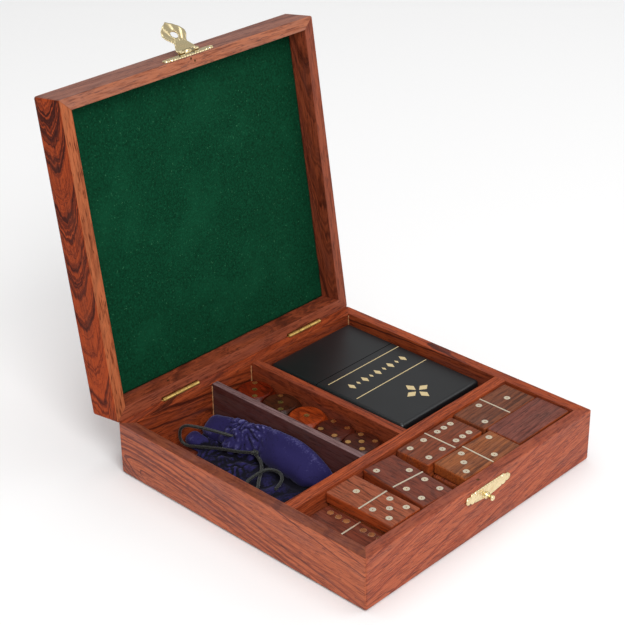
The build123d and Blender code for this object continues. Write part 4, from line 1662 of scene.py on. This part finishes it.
@dataclass
class CardCase:
    """Two-part case: moulded black shells with a seam, foil lines, a row of lozenges and a rosette.

    Attributes:
        top: height of the shells' upper face, in millimetres as all sizes here.
        bottom: height of the seam's underside, just inside the shells and off the bay's floor.
        sides: left and right side of the shells.
        corner: radius of the seam's corners.
        seam_y: place of the seam.
        seam_half: half width of the seam.
        seam_steps: cross-sections of the seam, all the way round.
        seam_depth: how deep the seam goes into the shells.
        foil_depth: how deep the foil goes into them.
        proud: how far the seam and the foil stand out.
        lines: left end, right end and place of each foil line.
        line_half: half width of a line.
        row: place of the first lozenge.
        pitch: distance from one lozenge to the next.
        lozenges: half heights of the lozenges.
        diamond: corners of a lozenge whose half height is one.
        rosette: centre of the rosette.
        leaf: corners of its first leaf.
    """

    top: float = 24.52
    bottom: float = 4.06
    sides: tuple[float, float] = (14.5, 76.0)
    corner: float = 2.2
    seam_y: float = 41.65
    seam_half: float = 0.2
    seam_steps: int = 64
    seam_depth: float = 0.06
    foil_depth: float = 0.05
    proud: float = 0.03
    lines: tuple[tuple[float, float, float], ...] = ((18.9, 74.2, 36.45), (18.4, 73.2, 16.15))
    line_half: float = 0.28
    row: tuple[float, float] = (26.0, 26.3)
    pitch: float = 5.0
    lozenges: tuple[float, ...] = (3.0, 1.7, 3.0, 1.7, 3.0, 1.7, 3.0, 1.7, 3.0)
    diamond: tuple[tuple[float, float], ...] = ((-0.55, 0.0), (0.0, -1.0), (0.55, 0.0), (0.0, 1.0))
    rosette: tuple[float, float] = (45.5, -1.6)
    leaf: tuple[tuple[float, float], ...] = ((1.2, 0.0), (4.6, -2.3), (8.0, 0.0), (4.6, 2.3))

    def foil_shapes(self) -> np.ndarray:
        """Foil shapes in plan: two lines, a row of lozenges and four leaves, each a quarter turn on.

        Returns:
            Array of shapes, each of four corners.
        """
        thin = self.line_half
        lines = np.array([
            [(left, y - thin), (right, y - thin), (right, y + thin), (left, y + thin)]
            for left, right, y in self.lines
        ])
        steps = np.arange(len(self.lozenges))[:, None] * (self.pitch, 0.0)
        middles = (np.array(self.row) + steps)[:, None]
        lozenges = np.array(self.lozenges)[:, None, None] * np.array(self.diamond) + middles
        turn = np.arange(4) * np.pi / 2
        spin = np.array([[np.cos(turn), np.sin(turn)], [-np.sin(turn), np.cos(turn)]]).transpose(2, 0, 1)
        leaves = np.array(self.leaf) @ spin + np.array(self.rosette)
        return np.concatenate([lines, lozenges, leaves])

    def seam_ribbon(self) -> np.ndarray:
        """Cross-sections of the dark line between the shells, a painted shadow of the gap, carried round
        their rounded rectangle.

        Each point is a corner's centre plus that corner's radius along the direction from the middle.

        Returns:
            Array of cross-sections, each of four corners, the last one on the first.
        """
        steps = self.seam_steps
        turn = ((np.arange(steps + 1) % steps + 0.5) * 2 * np.pi / steps)[:, None]
        radius = self.corner + np.array([[-self.seam_depth, self.proud, self.proud, -self.seam_depth]])
        x, z = (
            (high + low) / 2 + np.sign(way) * ((high - low) / 2 - self.corner) + radius * way
            for low, high, way in ((*self.sides, np.cos(turn)), (self.bottom, self.top, np.sin(turn)))
        )
        y = self.seam_y + self.seam_half * np.array([[1, 1, -1, -1]])
        return np.stack([x, np.broadcast_to(y, x.shape), z], -1)

    def build(self, shell: Material, foil: Material, deck: Material, shade: Material) -> None:
        """Dress the shells, lay a dark ribbon over the seam as its painted shadow, and lay the foil.

        Args:
            shell: finish of the case.
            foil: finish of the stamped lines.
            deck: finish of the cards.
            shade: finish of the seam, near black as its painted shadow.
        """
        for node in ("card_case_body", "card_case_lid"):
            dress(node, shell)
        dress("card_deck", deck)
        ribbon = self.seam_ribbon()
        faces = grid_faces(len(ribbon), 4, closed=True)
        seam = smooth_piece("card_case_seam_painted_shadow", ribbon, faces, shade, smooth=False)
        settle(seam, "card_case", "case_plastic")
        shapes = self.foil_shapes()
        count = len(shapes)
        layers = [
            np.concatenate([shapes, np.full((count, 4, 1), z)], -1)
            for z in (self.top - self.foil_depth, self.top + self.proud)
        ]
        points = np.stack(layers, 1)
        faces = [face for number in range(count) for face in capped_tube(2, 4, start=number * 8)]
        piece = smooth_piece("card_case_foil", points, faces, foil, smooth=False)
        settle(piece, "card_case", "inlay_brass")


# Pips on a half of a domino, as places across and along it
PIP_ROWS = {
    "1": [(0, 0)],
    "2": [(-1, -1), (1, 1)],
    "3": [(-1, -1), (0, 0), (1, 1)],
    "4": [(-1, -1), (-1, 1), (1, -1), (1, 1)],
    "5": [(-1, -1), (-1, 1), (0, 0), (1, -1), (1, 1)],
    "6": [(-1, -1), (-1, 0), (-1, 1), (1, -1), (1, 0), (1, 1)],
}


@dataclass
class GamePieces:
    """Dominoes and dice: solids that keep their shape, each cut from a board of its own tone.

    Attributes:
        inlay: finish of the dominoes' inlays.
        pips: finish of the dice's pips.
        pip_dots_and_reflection: finish of the pips' dark centres, and of the discs that paint a reflection of
            the wood in shade over the first tile's pips.
        half_at: distance from a tile's middle to the middle of its half, in millimetres as all sizes.
        pip_along: distance along the tile from one pip to the next.
        pip_across: distance across the tile from one pip to the next.
        dome: share of a centre disc's radius, and height over the tile, from under its middle round to its
            top.
        dome_sides: points round a centre disc.
        orange_dice: numbers of the dice in the paler wood.
        tile_tones_and_reflection: light, middle and dark tones of each tile, greyed to mauve as a painted
            reflection on its top, and the orange tone of its sides.
        tile_places: each tile's middle, turn, top and pips, and the radius of the disc over each pip:
            a small dark centre on most tiles, and on the first a disc over the whole pip that paints the
            wood's reflection in shade.
        dice_tones: light, middle and dark tones of each die.
    """

    inlay: Material
    pips: Material
    pip_dots_and_reflection: Material
    half_at: float = 10.2
    pip_along: float = 5.0
    pip_across: float = 5.9
    dome: tuple[tuple[float, float], ...] = (
        (0.0, -0.05), (1.0, -0.05), (1.0, 0.02), (0.9, 0.05), (0.0, 0.07),
    )
    dome_sides: int = 12
    orange_dice: tuple[int, ...] = (1, 3)
    tile_tones_and_reflection: tuple[tuple[str, str, str, str], ...] = (
        ("#803E2A", "#652F22", "#3A1A14", "#A04218"), ("#A65C40", "#8A4A32", "#523022", "#B84E1C"),
        ("#824434", "#6A382D", "#422420", "#A84A1E"), ("#8C4A32", "#73402C", "#482820", "#C05A24"),
        ("#A6643C", "#885030", "#543020", "#C0602A"), ("#865038", "#6C402E", "#462C22", "#A0522A"),
        ("#8A5044", "#704038", "#482A26", "#A8501E"),
    )
    tile_places: tuple[tuple[float, float, float, float, str, float], ...] = (
        # The first tile's discs of 1.62 mm cover its pips whole, as a painted reflection of the wood in shade
        (-67.6, -55.75, 90.0, 22.06, "66", 1.62), (-47.3, -53.75, 90.0, 28.08, "51", 0.3),
        (-23.8, -54.75, 84.5, 28.08, "42", 0.32), (12.4, -43.95, 0.0, 28.08, "46", 0.32),
        (15.3, -65.15, -2.0, 28.08, "32", 0.3), (55.9, -43.45, 0.0, 28.08, "21", 0.3),
    )
    dice_tones: tuple[tuple[str, str, str], ...] = (
        ("#7A240C", "#5C1B09", "#340E05"), ("#4A2415", "#36190F", "#1D0D08"),
        ("#A03F16", "#7E2E0F", "#4A1908"), ("#582215", "#421A10", "#240E09"),
        ("#4C2014", "#38170E", "#200D08"),
    )

    def build_pip_centres(self, number: int) -> None:
        """Discs over a tile's pips, dark centres on most tiles and a painted reflection on the first: low
        domes, whose radius over height is carried round Z.

        Args:
            number: number of the tile.
        """
        x, y, turn, top, ends, radius = self.tile_places[number - 1]
        flat = np.array([
            (end * self.half_at + along * self.pip_along, across * self.pip_across)
            for end, value in zip((-1, 1), ends) for across, along in PIP_ROWS[value]
        ])
        angle = math.radians(turn)
        spin = np.array([[math.cos(angle), math.sin(angle)], [-math.sin(angle), math.cos(angle)]])
        middles = flat @ spin + np.array([x, y])
        profile, sides = np.array(self.dome) * (radius, 1), self.dome_sides
        turns = np.linspace(0, 2 * np.pi, sides, endpoint=False)
        circle = np.stack([np.cos(turns), np.sin(turns)], -1)
        rings = profile[:, 0][:, None, None] * circle
        heights = np.broadcast_to((top + profile[:, 1])[:, None, None], (len(profile), sides, 1))
        dome = np.concatenate([rings, heights], -1)
        points = dome[None] + np.pad(middles, ((0, 0), (0, 1)))[:, None, None]
        faces = np.concatenate([
            grid_faces(len(profile), sides, closed=True, start=pip * len(profile) * sides)
            for pip in range(len(flat))
        ])
        piece = smooth_piece(f"tile_{number}_pip_centres", points, faces, self.pip_dots_and_reflection)
        settle(piece, f"tile_{number}", "inlay_brass")

    def polished_copy(self, node: str, angle: float = 32.0) -> Object:
        """Copy of a solid, shaded smooth but for edges that turn by more than an angle.

        Args:
            node: the solid.
            angle: degrees.

        Returns:
            The copy.
        """
        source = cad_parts[node].data
        count, faces = len(source.vertices), [list(face.vertices) for face in source.polygons]
        points = np.empty(count * 3)
        source.vertices.foreach_get("co", points)
        piece = smooth_piece(f"{node}_polished", points / MM, faces, source.materials[0])
        piece.data.set_sharp_from_angle(angle=math.radians(angle))
        return piece

    def build(self) -> None:
        """Dress every tile and die."""
        for number, (light, mid, dark, side) in enumerate(self.tile_tones_and_reflection, 1):
            # The top's mauve tones hold a painted reflection; the sides take their own orange tone
            finish = WoodFinish(
                f"rosewood, polished, tile {number}", light, mid, dark, "#6A4A42", side=side,
                grain=Grain.ALONG_Y if number <= 3 else Grain.ALONG_X, heart=(14.0, -30.0), ring=3.0,
                taper=0.06, seed=20.0 + number, roughness=0.38,
            )
            dress(f"tile_{number}", finish.build())
            if number <= len(self.tile_places):
                dress(f"tile_{number}_inlays", self.inlay)
                self.build_pip_centres(number)
        stack = WoodFinish(
            "rosewood, polished, stacked tiles", "#A2512B", "#843D1F", "#4C2016", side="#A85228",
            heart=(14.0, -30.0), seed=30.0,
        ).build()
        for node in ("bottom_tiles", "second_tiles", "third_tiles"):
            dress(node, stack)
        for number, (light, mid, dark) in enumerate(self.dice_tones, 1):
            finish = WoodFinish(
                f"rosewood, tumbled, die {number}", light, mid, dark, mid, grain=Grain.ALONG_Y,
                heart=(9.0, -14.0), ring=2.4, sway=2.0, seed=40.0 + number, roughness=0.30,
            )
            dress(f"die_{number}", finish.build())
            slot = "die_orange_wood" if number in self.orange_dice else "die_dark_wood"
            settle(self.polished_copy(f"die_{number}"), f"die_{number}", slot, f"die_{number}")
            dress(f"die_{number}_pips", self.pips)


@dataclass
class Studio:
    """White floor, soft lights and the camera.

    Attributes:
        lens: focal length in millimetres over a sensor 36 mm wide.
        azimuth: degrees that the camera stands round to the left of the front.
        elevation: degrees that it stands over the target.
        roll: degrees that it leans.
        distance: how far it stands from the target, in millimetres as all its places.
        slide: how far it is moved across its line of sight.
        target: the point that it turns about.
        floor_half: half width of the floor, in millimetres.
        floor_z: height of the floor, just under the box.
        aim: the point that the lamps face, in metres as their places and sizes.
        lamps: name, place, size and power of each lamp.
        glow: strength of the white room around it all.
    """

    lens: float = 94.2
    azimuth: float = -45.867
    elevation: float = 27.953
    roll: float = -0.8954
    distance: float = 810.92
    slide: tuple[float, float] = (-21.42, 47.61)
    target: tuple[float, float, float] = (0.0, 0.0, 33.6)
    floor_half: float = 6000.0
    floor_z: float = -0.2
    aim: tuple[float, float, float] = (0.0, 0.0, 0.05)
    lamps: tuple[tuple[str, tuple[float, float, float], float, float], ...] = (
        ("key", (-0.9, -1.5, 1.7), 1.1, 30.0), ("fill", (1.6, -1.1, 1.1), 1.4, 6.5),
        ("top", (0.1, 0.3, 2.2), 1.6, 13.0),
    )
    glow: float = 0.45

    def build_camera(self) -> None:
        """Camera out from the target along its line of sight, then slid across it."""
        a, e, r = (math.radians(v) for v in (self.azimuth, self.elevation, self.roll))
        back = Vector((math.sin(a) * math.cos(e), -math.cos(a) * math.cos(e), math.sin(e)))
        right = Vector((math.cos(a), math.sin(a), 0))
        up = back.cross(right)
        across = right * math.cos(r) + up * math.sin(r)
        upward = up * math.cos(r) - right * math.sin(r)
        offset = back * self.distance + across * self.slide[0] + upward * self.slide[1]
        data = bpy.data.cameras.new("camera")
        data.lens = self.lens
        data.sensor_width = 36.0
        data.clip_start = 0.05
        data.clip_end = 20.0
        camera = bpy.data.objects.new("camera", data)
        turn = Matrix((across, upward, back)).transposed().to_4x4()
        camera.matrix_world = Matrix.Translation((Vector(self.target) + offset) * MM) @ turn
        bpy.context.scene.collection.objects.link(camera)
        bpy.context.scene.camera = camera

    def build_floor(self) -> None:
        """Plain white floor that keeps the object's shadow."""
        material, tree, shader = new_material("paper backdrop, matt white")
        plug(tree, shader, Base_Color=linear("#FFFFFF"), Roughness=0.9, Specular_IOR_Level=0.1)
        corners = np.array([
            (x * self.floor_half, y * self.floor_half, self.floor_z)
            for x, y in ((-1, -1), (1, -1), (1, 1), (-1, 1))
        ])
        smooth_piece("floor", corners, [[0, 1, 2, 3]], material, smooth=False)

    def build_lights(self) -> None:
        """Large soft lamps over the camera and at both sides, and a pale world."""
        for name, place, size, power in self.lamps:
            data = bpy.data.lights.new(name, "AREA")
            data.size = size
            data.energy = power
            lamp = bpy.data.objects.new(name, data)
            lamp.location = place
            lamp.rotation_euler = (Vector(place) - Vector(self.aim)).to_track_quat("Z", "Y").to_euler()
            bpy.context.scene.collection.objects.link(lamp)
        world = bpy.data.worlds.new("white room")
        world.use_nodes = True
        tree = world.node_tree
        tree.nodes.clear()
        around = add_node(tree, "Background", Color=linear("#FFFFFF"), Strength=self.glow)
        add_node(tree, "OutputWorld", Surface=around.outputs[0])
        bpy.context.scene.world = world
        bpy.context.scene.view_settings.view_transform = "Standard"


def main() -> None:
    """Build the studio and dress every piece, in order."""
    studio = Studio()
    studio.build_camera()
    studio.build_floor()
    studio.build_lights()
    BoxCarcass().dress_boards()
    GlueAndHighlightLines().build(GlueAndHighlightFinish().build())
    LidLining().build(FeltFinish().build())
    fittings = FrontFittings(MetalFinish("brass, stamped").build())
    fittings.build_catch()
    fittings.build_hasp()
    fittings.build_flap()
    hinge_brass = MetalFinish("brass, rolled, hinges", "#D9B56A", "#8E6A34", 0.3, 0.6).build()
    nails = MetalFinish("brass, brads, tarnished", "#8A5A34", "#4A2A20", 0.45, 0.8).build()
    HingesAndBrads().dress_all(hinge_brass, nails)
    inlay = MetalFinish("brass, inlaid and polished", "#FFF3DC", "#F0D6A8", 0.36, 0.4).build()
    pips = MetalFinish("brass, set in dice and dulled", "#F2BE78", "#9A6832", 0.25, 0.6).build()
    # Dark pip centres, and on the first tile a painted reflection of the wood in shade
    pip_dots_and_reflection = MetalFinish("brass, inlaid, centre dots and painted reflection", "#A86A3C", "#6A3C22", 0.5, 0.8, 0.4).build()
    GamePieces(inlay, pips, pip_dots_and_reflection).build()
    foil = MetalFinish("foil, hot stamped", "#F0D9A6", "#C9A868", 0.4, 0.2, 0.4).build()
    shade = PlasticFinish("ABS, moulded, painted shadow of the parting line", "#020303", "#050506", 0.8, 0.05).build()
    CardCase().build(PlasticFinish().build(), foil, CardFinish().build(), shade)
    Pouch().build(VelvetFinish().build())
    Drawstring().build(CordFinish().build())


if __name__ == "__main__":
    main()
